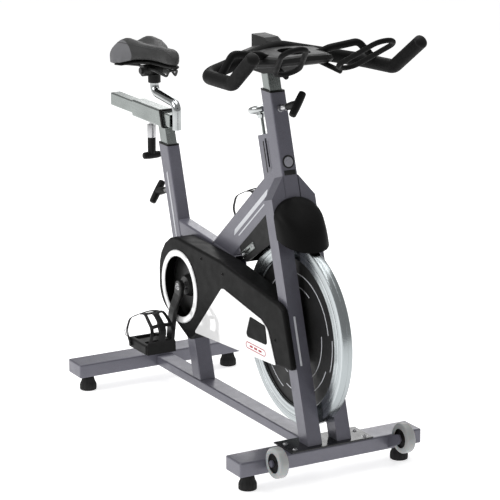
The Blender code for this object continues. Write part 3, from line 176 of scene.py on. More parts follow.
def paint_look():
    """Metallic powder coat: small flakes, orange peel and faint shade changes."""
    base = (0.116, 0.114, 0.142)
    look = Look("paint_violet_grey", 0.35, Coat_Weight=0.35, Coat_Roughness=0.18, Specular_IOR_Level=0.45)
    flake = look.spread(look.cells(1400.0), 0.0, 1.0, 0.15, 0.75)
    shade = look.mix(flake, scaled(base, 1.28), scaled(base, 0.82))
    dusty = look.mix(look.spread(look.noise(6.0, 5.0), 0.0, 0.16), shade, (0.23, 0.23, 0.26))
    look.set("Base Color", dusty)
    look.set("Roughness", look.spread(look.noise(30.0, 5.0), 0.30, 0.44))
    look.bump(look.noise(240.0, 2.0), 0.00022)
    look.bump(look.noise(1500.0, 1.0), 0.00005)
    return look.material


def silver_look(name, stretch, colour=(0.30, 0.325, 0.315), rough=0.26):
    """Brushed and plated steel: fine lines along the bar, soft smudges."""
    look = Look(name, 1.0)
    lines = look.noise(520.0, 3.0, stretch)
    smudge = look.noise(14.0, 5.0)
    look.set("Base Color", look.mix(look.spread(smudge, 0.0, 1.0), scaled(colour, 0.86),
                                    scaled(colour, 1.12)))
    look.set("Roughness", look.spread(lines, rough - 0.06, rough + 0.10))
    look.bump(lines, 0.00006)
    return look.material


def chrome_look():
    look = Look("polished_chrome", 1.0)
    smudge = look.noise(22.0, 5.0)
    look.set("Base Color", look.mix(look.spread(smudge, 0.0, 1.0), (0.40, 0.42, 0.42), (0.54, 0.56, 0.56)))
    look.set("Roughness", look.spread(look.noise(60.0, 6.0), 0.07, 0.17))
    look.bump(look.noise(90.0, 2.0), 0.00008)
    return look.material


def wheel_look():
    """Flywheel: black coated web, bright turned rim with fine circular tool lines."""
    look = Look("flywheel_rim_and_web", Specular_IOR_Level=0.25)
    centre = AXLE + SHIFT
    radius = look.radius(centre)
    rim = look.step(radius, WHEEL_RIM)
    boss = look.maths("SUBTRACT", 1.0, look.step(radius, WHEEL_BOSS))
    metal = look.maths("MAXIMUM", rim, boss)
    rings = look.node("ShaderNodeTexNoise",
                      {"Vector": look.node("ShaderNodeCombineXYZ", {0: radius}).outputs[0],
                       "Scale": 1500.0, "Detail": 3.0}).outputs["Fac"]
    broad_rings = look.node("ShaderNodeTexNoise",
                            {"Vector": look.node("ShaderNodeCombineXYZ", {0: radius}).outputs[0],
                             "Scale": 170.0, "Detail": 2.0}).outputs["Fac"]
    bright = look.mix(look.spread(broad_rings, 0.0, 1.0), (0.26, 0.29, 0.30), (0.60, 0.63, 0.64))
    black = look.mix(look.spread(look.noise(12.0, 4.0), 0.0, 1.0), (0.010, 0.010, 0.010),
                     (0.018, 0.018, 0.018))
    look.set("Base Color", look.mix(metal, black, bright))
    look.set("Metallic", metal)
    coat_rough = look.spread(look.noise(45.0, 5.0), 0.34, 0.48)
    steel_rough = look.spread(rings, 0.12, 0.30)
    look.set("Roughness", look.node("ShaderNodeMix", {0: metal, 2: coat_rough, 3: steel_rough}).outputs[0])
    look.bump(rings, 0.00005)
    look.bump(look.noise(900.0, 2.0), 0.00006)
    return look.material


def saddle_look():
    """Synthetic leather: pebbled grain, dark top with paler panels on the rear wings."""
    look = Look("saddle_leather", 0.0, Sheen_Weight=0.06, Sheen_Roughness=0.5, Specular_IOR_Level=0.25)
    centre = Vector((-0.532, 0.0, 0.884)) + SHIFT
    wing = look.radius(centre, (1.0 / 0.064, 0.0, 1.0 / 0.031))
    inside = look.maths("SUBTRACT", 1.0, look.step(wing, 1.0, 0.02))
    side = look.step(look.maths("ABSOLUTE", look.along(SHIFT, Y_AXIS)), 0.047, 0.002)
    panel = look.maths("MULTIPLY", inside, side)
    broad = look.spread(look.noise(10.0, 4.0), 0.0, 1.0)
    dark = look.mix(broad, (0.019, 0.019, 0.019), (0.031, 0.031, 0.031))
    grey = look.mix(broad, (0.105, 0.105, 0.112), (0.135, 0.135, 0.142))
    look.set("Base Color", look.mix(panel, dark, grey))
    look.set("Roughness", look.spread(look.noise(45.0, 5.0), 0.46, 0.62))
    look.bump(look.cells(620.0), 0.00022)
    look.bump(look.noise(70.0, 4.0), 0.0004)
    return look.material


def felt_look():
    look = Look("brake_felt")
    fibres = look.noise(420.0, 6.0, (1.0, 2.5, 1.0), 0.75)
    look.set("Base Color", look.mix(look.spread(fibres, 0.0, 1.0), (0.16, 0.12, 0.08), (0.33, 0.27, 0.20)))
    look.set("Roughness", look.spread(fibres, 0.85, 0.97))
    look.bump(fibres, 0.0008)
    return look.material


def webbing_look():
    """Woven nylon strap: crossed ribs."""
    look = Look("strap_webbing", 0.0, Sheen_Weight=0.2)
    weave = look.node("ShaderNodeTexWave", {"Vector": look.coords, "Scale": 330.0, "Distortion": 1.2},
                      bands_direction="X").outputs["Fac"]
    rib = look.node("ShaderNodeTexWave", {"Vector": look.coords, "Scale": 420.0, "Distortion": 0.8},
                    bands_direction="Y").outputs["Fac"]
    cloth = look.maths("MULTIPLY", weave, rib)
    look.set("Base Color", look.mix(cloth, (0.010, 0.010, 0.010), (0.026, 0.026, 0.027)))
    look.set("Roughness", look.spread(look.noise(80.0, 4.0), 0.62, 0.82))
    look.bump(cloth, 0.0004)
    return look.material


PAINT = paint_look()
GUARD = moulded("guard_plastic", (0.0060, 0.0060, 0.0060), 0.44, 900.0, 0.00010,
                Specular_IOR_Level=0.07).material
PLASTIC = moulded("moulded_black", (0.0070, 0.0070, 0.0070), 0.46, 650.0, 0.00016,
                  Specular_IOR_Level=0.16).material
DARK_PAINT = moulded("dark_coating", (0.012, 0.012, 0.012), 0.34, 380.0, 0.00018,
                     Specular_IOR_Level=0.3).material
PLATE = moulded("glossy_plate", (0.010, 0.010, 0.012), 0.16, 200.0, 0.00010, Specular_IOR_Level=0.5).material
RUBBER = moulded("foot_rubber", (0.016, 0.016, 0.016), 0.72, 420.0, 0.0003, Specular_IOR_Level=0.25).material
BELT = moulded("belt_rubber", (0.018, 0.018, 0.018), 0.66, 520.0, 0.0003).material
GRIP = moulded("bar_coating", (0.0050, 0.0050, 0.0050), 0.58, 520.0, 0.00028, 0.25,
               Specular_IOR_Level=0.08).material
WHITE = moulded("white_gloss", (0.86, 0.86, 0.86), 0.15, 160.0, 0.00004, 0.02, Coat_Weight=1.0,
                Coat_Roughness=0.02, Coat_IOR=2.3).material
RED = moulded("red_print", (0.52, 0.05, 0.06), 0.34, 500.0, 0.00006).material
PRINT = moulded("pale_print", (0.56, 0.57, 0.60), 0.38, 500.0, 0.00006, 0.05).material
BADGE = moulded("badge_grey", (0.27, 0.27, 0.30), 0.36, 400.0, 0.00008, metallic=0.15).material
TYRE = moulded("pale_tyre", (0.34, 0.35, 0.35), 0.34, 500.0, 0.0001, 0.10, Subsurface_Weight=0.2,
               Subsurface_Scale=0.004).material
SILVER_UP = silver_look("plated_steel_upright", (1.0, 1.0, 0.04))
SILVER_ALONG = silver_look("plated_steel_level", (0.04, 1.0, 1.0))
STEEL = silver_look("turned_steel", (1.0, 0.04, 1.0), (0.46, 0.46, 0.47), 0.28)
CHROME = chrome_look()
WHEEL = wheel_look()
WEBBING = webbing_look()

FINISHES = {
    PAINT: ("rear_stabilizer", "front_stabilizer", "bottom_beam", "seat_tube", "lower_post", "center_beam",
            "down_tube", "head_tube", "right_fork_leg", "left_fork_leg", "bottom_bracket_shell"),
    PLATE: ("front_base_plate",),
    DARK_PAINT: ("drive_pulley", "right_crank_arm", "left_crank_arm", "saddle_cheeks", "saddle_rails"),
    STEEL: ("flywheel_hub", "flywheel_axle", "driven_pulley", "crank_spindle", "right_pedal_spindle",
            "left_pedal_spindle", "brake_holder"),
    SILVER_UP: ("seat_post", "handlebar_post", "resistance_rod"),
    SILVER_ALONG: ("slider_sleeve", "seat_slider"),
    CHROME: ("resistance_knob", "saddle_post"),
    WHEEL: ("flywheel",),
    GUARD: ("drive_guard_outer", "drive_guard_inner", "brake_shield"),
    PLASTIC: ("brake_housing", "seat_tube_bush", "head_tube_bush", "right_pedal", "left_pedal",
              "right_toe_cage", "left_toe_cage", "saddle_clamp", "saddle_base", "bottle_tray",
              "handlebar_pin", "seat_height_pin", "slider_lock"),
    WHITE: ("guard_panel", "guard_ring"),
    BELT: ("drive_belt",),
    felt_look(): ("brake_pad",),
    TYRE: ("right_transport_wheel", "left_transport_wheel"),
    RUBBER: ("rear_right_foot", "rear_left_foot", "front_right_foot", "front_left_foot"),
    GRIP: ("handlebar",),
    saddle_look(): ("saddle_cushion",),
}
for finish, names in FINISHES.items():
    for name in names:
        slots = NODES[name].data.materials
        for k in range(max(1, len(slots))):
            if k < len(slots):
                slots[k] = finish
            else:
                slots.append(finish)


# ---------------------------------------------------------------- mesh building
def piece(name, bm, look, body, angle=38.0):
    """Object from a bmesh in the bike's frame, riding on a body."""
    bmesh.ops.remove_doubles(bm, verts=bm.verts, dist=0.000001)
    bmesh.ops.recalc_face_normals(bm, faces=bm.faces)
    bmesh.ops.translate(bm, verts=bm.verts, vec=SHIFT)
    mesh = bpy.data.meshes.new(name)
    bm.to_mesh(mesh)
    bm.free()
    mesh.materials.append(look)
    mesh.shade_smooth()
    mesh.set_sharp_from_angle(angle=math.radians(angle))
    obj = bpy.data.objects.new(name, mesh)
    bpy.context.scene.collection.objects.link(obj)
    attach(obj, body)
    return obj


def skin(loops, closed=False, capped=True, bm=None):
    """Surface through equal loops of points."""
    bm = bm or bmesh.new()
    rings = [[bm.verts.new(p) for p in loop] for loop in loops]
    count = len(rings[0])
    last = len(rings) if closed else len(rings) - 1
    for i in range(last):
        first, second = rings[i], rings[(i + 1) % len(rings)]
        for k in range(count):
            j = (k + 1) % count
            bm.faces.new((first[k], first[j], second[j], second[k]))
    if capped and not closed:
        bm.faces.new(rings[0][::-1])
        bm.faces.new(rings[-1])
    return bm


def swept(path, section, closed=False, hint=None, bm=None):
    """Section, a list of (across, up) points, carried along a path."""
    path = [Vector(p) for p in path]
    count = len(path)
    up = Vector(hint) if hint is not None else None
    loops = []
    normal = None
    for i, point in enumerate(path):
        before = path[i - 1] if closed or i else point
        after = path[(i + 1) % count] if closed or i < count - 1 else point
        tangent = (after - before).normalized()
        if normal is None:
            normal = up if up is not None else tangent.orthogonal()
        if up is not None:
            normal = up
        normal = (normal - tangent * normal.dot(tangent)).normalized()
        across = tangent.cross(normal)
        loops.append([point + across * u + normal * v for u, v in section])
    return skin(loops, closed, bm=bm)


def round_section(radius, sides):
    return [(radius * math.cos(2 * math.pi * k / sides), radius * math.sin(2 * math.pi * k / sides))
            for k in range(sides)]


def band_section(width, thick, edge=0.3):
    """Flat band with softened edges."""
    w, t, e = width / 2, thick / 2, thick * edge
    return [(-w, -t + e), (-w + e, -t), (w - e, -t), (w, -t + e), (w, t - e), (w - e, t),
            (-w + e, t), (-w, t - e)]


def lathed(profile, centre, axis, sides=32, bm=None):
    """Profile of (radius, distance along axis) turned about an axis."""
    axis = Vector(axis).normalized()
    u = axis.orthogonal().normalized()
    v = axis.cross(u)
    centre = Vector(centre)
    bm = bm or bmesh.new()
    rings = []
    for radius, height in profile:
        if radius < 0.00001:
            rings.append([bm.verts.new(centre + axis * height)])
            continue
        rings.append([bm.verts.new(centre + axis * height
                                   + (u * math.cos(2 * math.pi * k / sides)
                                      + v * math.sin(2 * math.pi * k / sides)) * radius)
                      for k in range(sides)])
    for low, high in zip(rings, rings[1:]):
        for k in range(sides):
            j = (k + 1) % sides
            if len(low) == 1:
                bm.faces.new((low[0], high[j], high[k]))
            elif len(high) == 1:
                bm.faces.new((low[k], low[j], high[0]))
            else:
                bm.faces.new((low[k], low[j], high[j], high[k]))
    return bm


def fillet(corners, radii, steps=8):
    """Path through corners with its inner corners rounded."""
    corners = [Vector(c) for c in corners]
    points = [corners[0]]
    for i in range(1, len(corners) - 1):
        corner, radius = corners[i], radii[i - 1]
        a, b = (corners[i - 1] - corner).normalized(), (corners[i + 1] - corner).normalized()
        half = a.angle(b) / 2
        reach = radius / math.tan(half)
        centre = corner + (a + b).normalized() * radius / math.sin(half)
        start, end = corner + a * reach - centre, corner + b * reach - centre
        turn = start.angle(end)
        for k in range(steps + 1):
            f = k / steps
            arm = (start * math.sin((1 - f) * turn) + end * math.sin(f * turn)) / math.sin(turn)
            points.append(centre + arm)
    points.append(corners[-1])
    return points


def rounded_outline(corners, radius, steps=5):
    """Closed flat outline with rounded corners, as (u, v) points."""
    points = []
    count = len(corners)
    for i in range(count):
        before, corner, after = (Vector((*corners[(i + s) % count], 0.0)) for s in (-1, 0, 1))
        part = fillet([before, corner, after], [radius], steps)[1:-1]
        points += [(p.x, p.y) for p in part]
    return points


def raised(outline, to_space, thick, bevel=0.0002):
    """Thin plate on a surface: to_space(u, v, height) gives the points."""
    centre = [sum(p[i] for p in outline) / len(outline) for i in (0, 1)]
    reach = max(math.dist(p, centre) for p in outline)
    shrink = 1 - bevel / reach * 1.6
    small = [[centre[i] + (p[i] - centre[i]) * shrink for i in (0, 1)] for p in outline]
    levels = [(outline, -0.00008), (outline, thick - bevel), (small, thick)]
    return skin([[to_space(u, v, h) for u, v in points] for points, h in levels])


def on_side(y, sign):
    """Drawing plane facing sideways at y: u along X, v up."""
    return lambda u, v, h: Vector((u, y + sign * h, v))


def on_front(a, b):
    """Drawing plane on a leaning front face: u sideways, v up along the tube."""
    return lambda u, v, h: lean(a + v, b + h, u)


def screw(name, point, axis, radius, body="frame", look=None):
    """Domed screw head with a six-sided socket, on a thin washer."""
    profile = [(radius * 1.35, -0.0001), (radius * 1.35, 0.0005), (radius * 1.02, 0.0007), (radius, 0.0009),
               (radius * 0.97, radius * 0.34), (radius * 0.80, radius * 0.56), (radius * 0.52, radius * 0.62)]
    bm = lathed(profile, point, axis, 24)
    socket = [(radius * 0.52, radius * 0.62), (radius * 0.46, radius * 0.60), (radius * 0.44, radius * 0.25),
              (0.0, radius * 0.22)]
    lathed(socket, point, axis, 6, bm)
    return piece(name, bm, look or STEEL, body)


# ---------------------------------------------------------------- saddle
def inflate(obj, pressure, reach):
    """Swell a closed mesh with cloth pressure, and cap how far any point moves."""
    start = [v.co.copy() for v in obj.data.vertices]
    cloth = obj.modifiers.new("swell", "CLOTH")
    settings = cloth.settings
    settings.use_pressure = True
    settings.uniform_pressure_force = pressure
    settings.effector_weights.gravity = 0.0
    settings.quality = 5
    settings.mass = 0.3
    scene = bpy.context.scene
    for number in range(1, 21):
        scene.frame_set(number)
    posed = obj.evaluated_get(bpy.context.evaluated_depsgraph_get())
    moved = [v.co.copy() for v in posed.data.vertices]
    obj.modifiers.clear()
    scene.frame_set(1)
    for vertex, old, new in zip(obj.data.vertices, start, moved):
        step = new - old
        if step.length > reach:
            step *= reach / step.length
        vertex.co = old + step


def saddle_pad():
    source = NODES["saddle_cushion"]
    mesh = source.data.copy()
    pad = bpy.data.objects.new("saddle_pad", mesh)
    bpy.context.scene.collection.objects.link(pad)
    low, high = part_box("saddle_cushion")
    middle = (low + high) / 2
    ease = Vector((0.0025, 0.0025, 0.0020))
    for vertex in mesh.vertices:
        offset = vertex.co - middle
        vertex.co = middle + Vector([c * (1 - e / s) for c, e, s in zip(offset, ease, (high - low) / 2)])
    remesh = pad.modifiers.new("remesh", "REMESH")
    remesh.mode = "VOXEL"
    remesh.voxel_size = 0.0045
    bpy.context.view_layer.update()
    shaped = bpy.data.meshes.new_from_object(pad.evaluated_get(bpy.context.evaluated_depsgraph_get()))
    pad.modifiers.clear()
    pad.data = shaped
    pad.data.name = "saddle_pad"
    floor = [v.co.z for v in shaped.vertices]
    under = [v.normal.z < -0.45 for v in shaped.vertices]
    inflate(pad, 4.0, 0.0035)
    for vertex, z, below in zip(shaped.vertices, floor, under):
        if below:
            vertex.co.z = z
        vertex.co = Vector([min(max(c, a), b) for c, a, b in zip(vertex.co, low, high)])
    smoother = pad.modifiers.new("even", "SMOOTH")
    smoother.factor = 0.5
    smoother.iterations = 4
    finer = pad.modifiers.new("finer", "SUBSURF")
    finer.levels = finer.render_levels = 1
    done = bpy.data.meshes.new_from_object(pad.evaluated_get(bpy.context.evaluated_depsgraph_get()))
    pad.modifiers.clear()
    pad.data = done
    done.name = "saddle_pad"
    done.materials.clear()
    done.materials.append(source.data.materials[0])
    done.shade_smooth()
    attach(pad, "saddle")
    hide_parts("saddle_cushion")
    return pad


def saddle_seams(pad):
    """Piped seams that run from the rear wings to the nose on each side of the top, with stitches."""
    bm = bmesh.new()
    bm.from_mesh(pad.data)
    surface = BVHTree.FromBMesh(bm)
    bm.free()
    low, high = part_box("saddle_cushion")
    length = high.x - low.x
    for word, side in (("right", -1), ("left", 1)):
        seam, stitches = [], bmesh.new()
        for k in range(61):
            f = 0.035 + 0.90 * k / 60
            x = low.x + length * f
            hit = surface.ray_cast(Vector((x, side * 0.12, 0.894)), Vector((0.0, -side, 0.0)))[0]
            if hit is None:
                continue
            reach = abs(hit.y) * (0.80 - 0.10 * f)
            top = surface.ray_cast(Vector((x, side * reach, 1.0)), Vector((0.0, 0.0, -1.0)))[0]
            if top is not None:
                seam.append(top - SHIFT + Vector((0.0, 0.0, 0.0001)))
        piece(word + "_saddle_seam", swept(seam, round_section(0.0009, 8)), saddle_trim, "saddle")
        for a, b in zip(seam, seam[1:]):
            inward = Vector((0.0, -side * 0.0032, 0.0008))
            middle = (a + b) / 2 + inward
            reach = (b - a) * 0.30
            swept([middle - reach, middle - reach * 0.4, middle + reach * 0.4, middle + reach],
                  round_section(0.00042, 6), bm=stitches)
        piece(word + "_saddle_stitches", stitches, thread, "saddle")


saddle_trim = moulded("saddle_piping", (0.024, 0.024, 0.025), 0.5, 500.0, 0.0001).material
thread = moulded("thread", (0.060, 0.060, 0.063), 0.7, 900.0, 0.0001).material
saddle_seams(saddle_pad())


# ---------------------------------------------------------------- handlebar
def handlebar():
    """The coated bar drawn finely: arched crosspiece with grips and horns, brace rods, inner loops."""
    half = [(0.4760, 0.2260, 1.0435), (0.3720, 0.2200, 0.9680), (0.2280, 0.2140, 0.9625), (0.19, 0.0, 1.0075)]
    corners = [(x, -y, z) for x, y, z in half] + [(x, y, z) for x, y, z in reversed(half[:-1])]
    path = fillet(corners, [0.040, 0.045, 0.100, 0.045, 0.040], 12)
    main = piece("bar_main", swept(path, round_section(BAR_R, 32)), GRIP, "bar_column")
    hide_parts("handlebar")
    for word, side in (("right", -1), ("left", 1)):
        tip, before = (path[0], path[1]) if side < 0 else (path[-1], path[-2])
        dome = [(0.0168, -0.0050), (0.0170, 0.0), (0.0166, 0.0016), (0.0145, 0.0040), (0.0100, 0.0064),
                (0.0050, 0.0076), (0.0, 0.0079)]
        piece(word + "_bar_end", lathed(dome, tip, tip - before, 32), PLASTIC, "bar_column")
        brace = [(0.262, 0.050, 0.9880), (0.280, 0.095, 1.0100), (0.288, 0.172, 1.0200),
                 (0.303, 0.2165, 0.9690)]
        brace = fillet([(x, side * y, z) for x, y, z in brace], [0.030, 0.022], 8)
        piece(word + "_bar_brace", swept(brace, round_section(0.0090, 20)), GRIP, "bar_column")
        strut = [(0.196, 0.052, 0.9960), (0.300, 0.062, 0.9820), (0.368, 0.074, 0.9700)]
        strut = fillet([(x, side * y, z) for x, y, z in strut], [0.05], 6)
        rod = round_section(0.0064, 16)
        piece(word + "_loop_strut", swept(strut, rod), GRIP, "bar_column")
        piece(word + "_bar_loop", swept(loop_path(side), rod, closed=True), GRIP, "bar_column")


def loop_path(side):
    """Long oval loop that rises forward from the tray, in the plane of the horns."""
    slope = Vector((1.0, 0.0, 0.64)).normalized()
    turn = math.radians(19.0)
    out = Vector((0, side, 0))
    along = slope * math.cos(turn) + out * math.sin(turn)
    across = -slope * math.sin(turn) + out * math.cos(turn)
    centre = Vector((0.4340, side * 0.1015, 1.0185))
    straight, radius = 0.0490, 0.0300
    points = []
    for end in (1, -1):
        for k in range(17):
            angle = -math.pi / 2 + math.pi * k / 16
            points.append(centre + along * end * (straight + radius * math.cos(angle))
                          + across * end * radius * math.sin(angle))
    return points


handlebar()


# ---------------------------------------------------------------- pedals
def toe_strap(word, side, body):
    """Nylon strap from the pedal's outer plate over the cage's rear edge to the inner plate."""
    reach = CRANK_LENGTH if side < 0 else -CRANK_LENGTH
    pedal = CRANK + Vector((reach * math.cos(CRANK_ANGLE), side * PEDAL_Y, reach * math.sin(CRANK_ANGLE)))
    shape = [(-0.030, 0.0460, -0.006), (-0.050, 0.0485, 0.030), (-0.046, 0.0400, 0.064),
             (-0.014, 0.0260, 0.0815), (-0.010, 0.0, 0.0865), (-0.014, -0.0260, 0.0815),
             (-0.046, -0.0400, 0.064), (-0.050, -0.0465, 0.030), (-0.030, -0.0452, -0.006)]
    path = [pedal + Vector((x, side * y, z)) for x, y, z in shape]
    path = fillet(path, [0.030, 0.022, 0.020, 0.05, 0.020, 0.022, 0.030], 6)
    centre = pedal + Vector((0.02, 0.0, 0.03))
    loops = []
    for i, point in enumerate(path):
        tangent = (path[min(i + 1, len(path) - 1)] - path[max(i - 1, 0)]).normalized()
        out = point - centre
        out = (out - tangent * out.dot(tangent)).normalized()
        across = tangent.cross(out)
        loops.append([point + across * u + out * v for u, v in band_section(STRAP_WIDTH, STRAP_THICK)])
    piece(word + "_toe_strap", skin(loops), WEBBING, body)
    buckle_at = pedal + Vector((-0.0485, side * 0.0500, 0.026))
    frame_path = [(-0.008, -0.0085), (0.008, -0.0085), (0.008, 0.0085), (-0.008, 0.0085)]
    outline = rounded_outline(frame_path, 0.0025, 4)
    tilt = Vector((-0.42, 0.0, 0.90)).normalized()
    flat = Vector((0.90, 0.0, 0.42)).normalized()
    ring = [buckle_at + flat * u + tilt * v for u, v in outline]
    piece(word + "_strap_buckle", swept(ring, round_section(0.0011, 8), closed=True), STEEL, body)


toe_strap("right", -1, "right_pedal_body")
toe_strap("left", 1, "left_pedal_body")
for word, side in (("right", -1), ("left", 1)):
    arm_low, arm_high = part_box(word + "_crank_arm")
    face = side * 0.0812
    screw(word + "_crank_bolt", CRANK + Vector((0.0, face, 0.0)), (0, side, 0), 0.0068, "crankset")


# ---------------------------------------------------------------- fine round pieces
def replacement(name, node, bm, look, body, angle=38.0):
    obj = piece(name, bm, look, body, angle=angle)
    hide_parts(node)
    return obj


def closed_ring(profile):
    return profile + profile[:1]


def flywheel():
    """Disc with a turned rim, a thin web and a raised boss."""
    half, outer = 0.014, 0.228
    side = [(0.0242, 0.0130), (0.0335, 0.0130), (0.0345, 0.0122), (0.0382, 0.0066), (0.1815, 0.0055),
            (0.1830, 0.0060), (0.1868, 0.0130), (0.1885, half), (0.2075, half), (0.2080, half - 0.0006),
            (0.2090, half - 0.0006), (0.2095, half), (0.2242, half), (0.2262, half - 0.0006),
            (0.2275, half - 0.0020), (outer, half - 0.0040)]
    groove = [(outer, 0.0012), (outer - 0.0006, 0.0008), (outer - 0.0006, -0.0008), (outer, -0.0012)]
    profile = side + groove + [(radius, -height) for radius, height in reversed(side)]
    replacement("flywheel_disc", "flywheel", lathed(closed_ring(profile), AXLE, Y_AXIS, 160), WHEEL,
                "flywheel_assembly", 25.0)


def brake_shield():
    """Bulging cover over the top front of the flywheel."""
    top, bottom = 0.5436, 0.4020
    base = HEAD_FRONT + 0.0003
    rows, columns = 26, 45

    def surface(f, g, inset):
        half = 0.063
        if f < 0.5:
            half = 0.063 * math.sqrt(max(0.0, 1 - (1 - f / 0.5) ** 2)) * 0.97 + 0.002
        half -= inset
        bulge = max(0.0032, 0.072 * math.sin(min(1.0, 0.08 + f * 1.05) * math.pi / 2)) - inset
        turn = math.pi / 2 * g
        reach = max(0.0, math.cos(turn)) ** 0.8
        a = top - (top - bottom - 0.045 * (1 - reach)) * f
        return lean(a, base + bulge * reach, half * math.sin(turn))

    loops = []
    for r in range(rows):
        f = (r / (rows - 1)) ** 1.3
        outside = [surface(f, 2 * c / (columns - 1) - 1, 0.0) for c in range(columns)]
        inside = [surface(0.05 + 0.95 * f, 2 * c / (columns - 1) - 1, 0.0026) for c in range(columns)]
        loops.append(outside + inside[::-1])
    replacement("shield_cover", "brake_shield", skin(loops), GUARD, "frame", 50.0)


def saddle_post():
    path = fillet([(-0.318, 0, 0.7070), (-0.318, 0, 0.7750), (-0.4425, 0, 0.7870), (-0.4425, 0, 0.8300)],
                  [0.022, 0.022], 14)
    replacement("bent_post", "saddle_post", swept(path, round_section(0.0118, 32)), CHROME, "seat_carriage")


def knob():
    profile = [(0.0046, -0.0188), (0.0090, -0.0190), (0.0097, -0.0182), (0.0115, -0.0110), (0.0190, -0.0082),
               (0.0270, -0.0060), (0.0297, -0.0036), (0.0308, -0.0008), (0.0312, 0.0030), (0.0306, 0.0060),
               (0.0288, 0.0084), (0.0240, 0.0104), (0.0150, 0.0124), (0.0070, 0.0133), (0.0, 0.0135)]
    cap = lathed(profile, lean(0.7660, 0.363), UP, 64)
    replacement("knob_cap", "resistance_knob", cap, CHROME, "brake_knob")


def grip_bar(name, middle, direction, half, look, body):
    """Barrel-shaped cross handle with ribbed ends."""
    profile = [(0.0, -half), (0.0040, -half), (0.0068, -half + 0.0007), (0.0088, -half + 0.0026)]
    for k in range(9):
        height = -half + 0.0052 + (2 * half - 0.0104) * k / 8
        swell = 0.0102 - 0.0010 * abs(2 * k / 8 - 1) ** 2
        profile += [(swell, height - 0.0012), (swell - 0.0004, height), (swell, height + 0.0012)]
    profile += [(0.0088, half - 0.0026), (0.0068, half - 0.0007), (0.0040, half), (0.0, half)]
    return piece(name, lathed(profile, middle, direction, 24), look, body)


def pull_pin(node, face, outward, body):
    """Spring pin: bright guide neck, black stem and a T handle set askew."""
    neck = [(0.0, -0.0046), (0.0047, -0.0046), (0.0047, 0.0003), (0.0085, 0.0004), (0.0085, 0.0020),
            (0.0078, 0.0026), (0.0078, 0.0150), (0.0085, 0.0158), (0.0085, 0.0180), (0.0068, 0.0208),
            (0.0068, 0.0345), (0.0, 0.0345)]
    replacement(node + "_neck", node, lathed(neck, face, outward, 32), STEEL, body)
    stem = [(0.0, 0.0338), (0.0074, 0.0338), (0.0086, 0.0360), (0.0094, 0.0470), (0.0103, 0.0600),
            (0.0102, 0.0800), (0.0, 0.0800)]
    piece(node + "_stem", lathed(stem, face, outward, 32), PLASTIC, body)
    tilt = math.radians(36.8)
    direction = UP * math.cos(tilt) + Vector((0, math.sin(tilt), 0))
    middle = Vector(face) + Vector(outward) * PULL_PIN_REACH
    grip_bar(node + "_grip", middle, direction, 0.0338, PLASTIC, body)


def slider_lock():
    centre = Vector((-0.4615, 0.0, 0.6950))
    neck = [(0.0, 0.0150), (0.0058, 0.0150), (0.0058, 0.0001), (0.0116, 0.0001), (0.0118, -0.0010),
            (0.0118, -0.0330), (0.0112, -0.0345), (0.0, -0.0345)]
    replacement("lock_neck", "slider_lock", lathed(neck, centre, (0, 0, 1), 32), STEEL,
                "slider_lock_screw")
    stem = [(0.0, -0.0338), (0.0106, -0.0338), (0.0110, -0.0370), (0.0108, -0.0720), (0.0088, -0.0860),
            (0.0, -0.0870)]
    piece("lock_stem", lathed(stem, centre, (0, 0, 1), 32), PLASTIC, "slider_lock_screw")
    grip_bar("lock_grip", (-0.4615, 0.0, 0.6115), Y_AXIS, 0.0258, PLASTIC, "slider_lock_screw")


def feet():
    """Domed rubber feet with upright ribs, on threaded stems."""
    levels = [(0.0195, 0.0, 0.0), (0.0218, 0.0010, 0.4), (0.0225, 0.0035, 1.0), (0.0225, 0.0130, 1.0),
              (0.0212, 0.0180, 1.0), (0.0190, 0.0222, 0.8), (0.0172, 0.0280, 0.5), (0.0160, 0.0338, 0.2),
              (0.0130, 0.0372, 0.0), (0.0074, 0.0430, 0.0)]
    sides, ribs = 96, 12
    for word, front in (("rear", -1), ("front", 1)):
        for hand, side in (("right", -1), ("left", 1)):
            base = Vector((front * 0.4319, side * 0.214, 0.0))
            loops = []
            for radius, height, depth in levels:
                loop = []
                for k in range(sides):
                    turn = 2 * math.pi * k / sides
                    fluted = radius - 0.0011 * depth * max(0.0, math.cos(ribs * turn)) ** 0.5
                    loop.append(base + Vector((fluted * math.cos(turn), fluted * math.sin(turn), height)))
                loops.append(loop)
            name = f"{word}_{hand}_foot"
            body = f"{word}_{hand}_leveller"
            replacement(name + "_dome", name, skin(loops), RUBBER, body, 50.0)
            stem = [(0.0, 0.0425), (0.0055, 0.0425)]
            for k in range(12):
                stem += [(0.0055, 0.0440 + 0.002 * k), (0.0049, 0.0450 + 0.002 * k)]
            stem += [(0.0050, 0.0680), (0.0, 0.0680)]
            piece(name + "_stem", lathed(stem, base, (0, 0, 1), 24), STEEL, body)


def transport_wheels():
    outer = 0.0375
    tyre = [(0.0240, -0.0116), (0.0250, -0.0120), (outer - 0.0045, -0.0120), (outer - 0.0018, -0.0108),
            (outer - 0.0004, -0.0086), (outer, -0.0060), (outer, 0.0060), (outer - 0.0004, 0.0086),
            (outer - 0.0018, 0.0108), (outer - 0.0045, 0.0120), (0.0250, 0.0120), (0.0240, 0.0116)]
    hub = [(0.0057, -0.0110), (0.0115, -0.0110), (0.0125, -0.0100), (0.0140, -0.0078), (0.0222, -0.0074),
           (0.0232, -0.0100), (0.0241, -0.0108), (0.0241, 0.0108), (0.0232, 0.0100), (0.0222, 0.0074),
           (0.0140, 0.0078), (0.0125, 0.0100), (0.0115, 0.0110), (0.0057, 0.0110)]
    for hand, side in (("right", -1), ("left", 1)):
        centre = Vector((0.508, side * 0.177, 0.083))
        replacement(hand + "_wheel_tyre", hand + "_transport_wheel",
                    lathed(closed_ring(tyre), centre, Y_AXIS, 64), TYRE, hand + "_wheel")
        piece(hand + "_wheel_hub", lathed(closed_ring(hub), centre, Y_AXIS, 48), PLASTIC, hand + "_wheel")


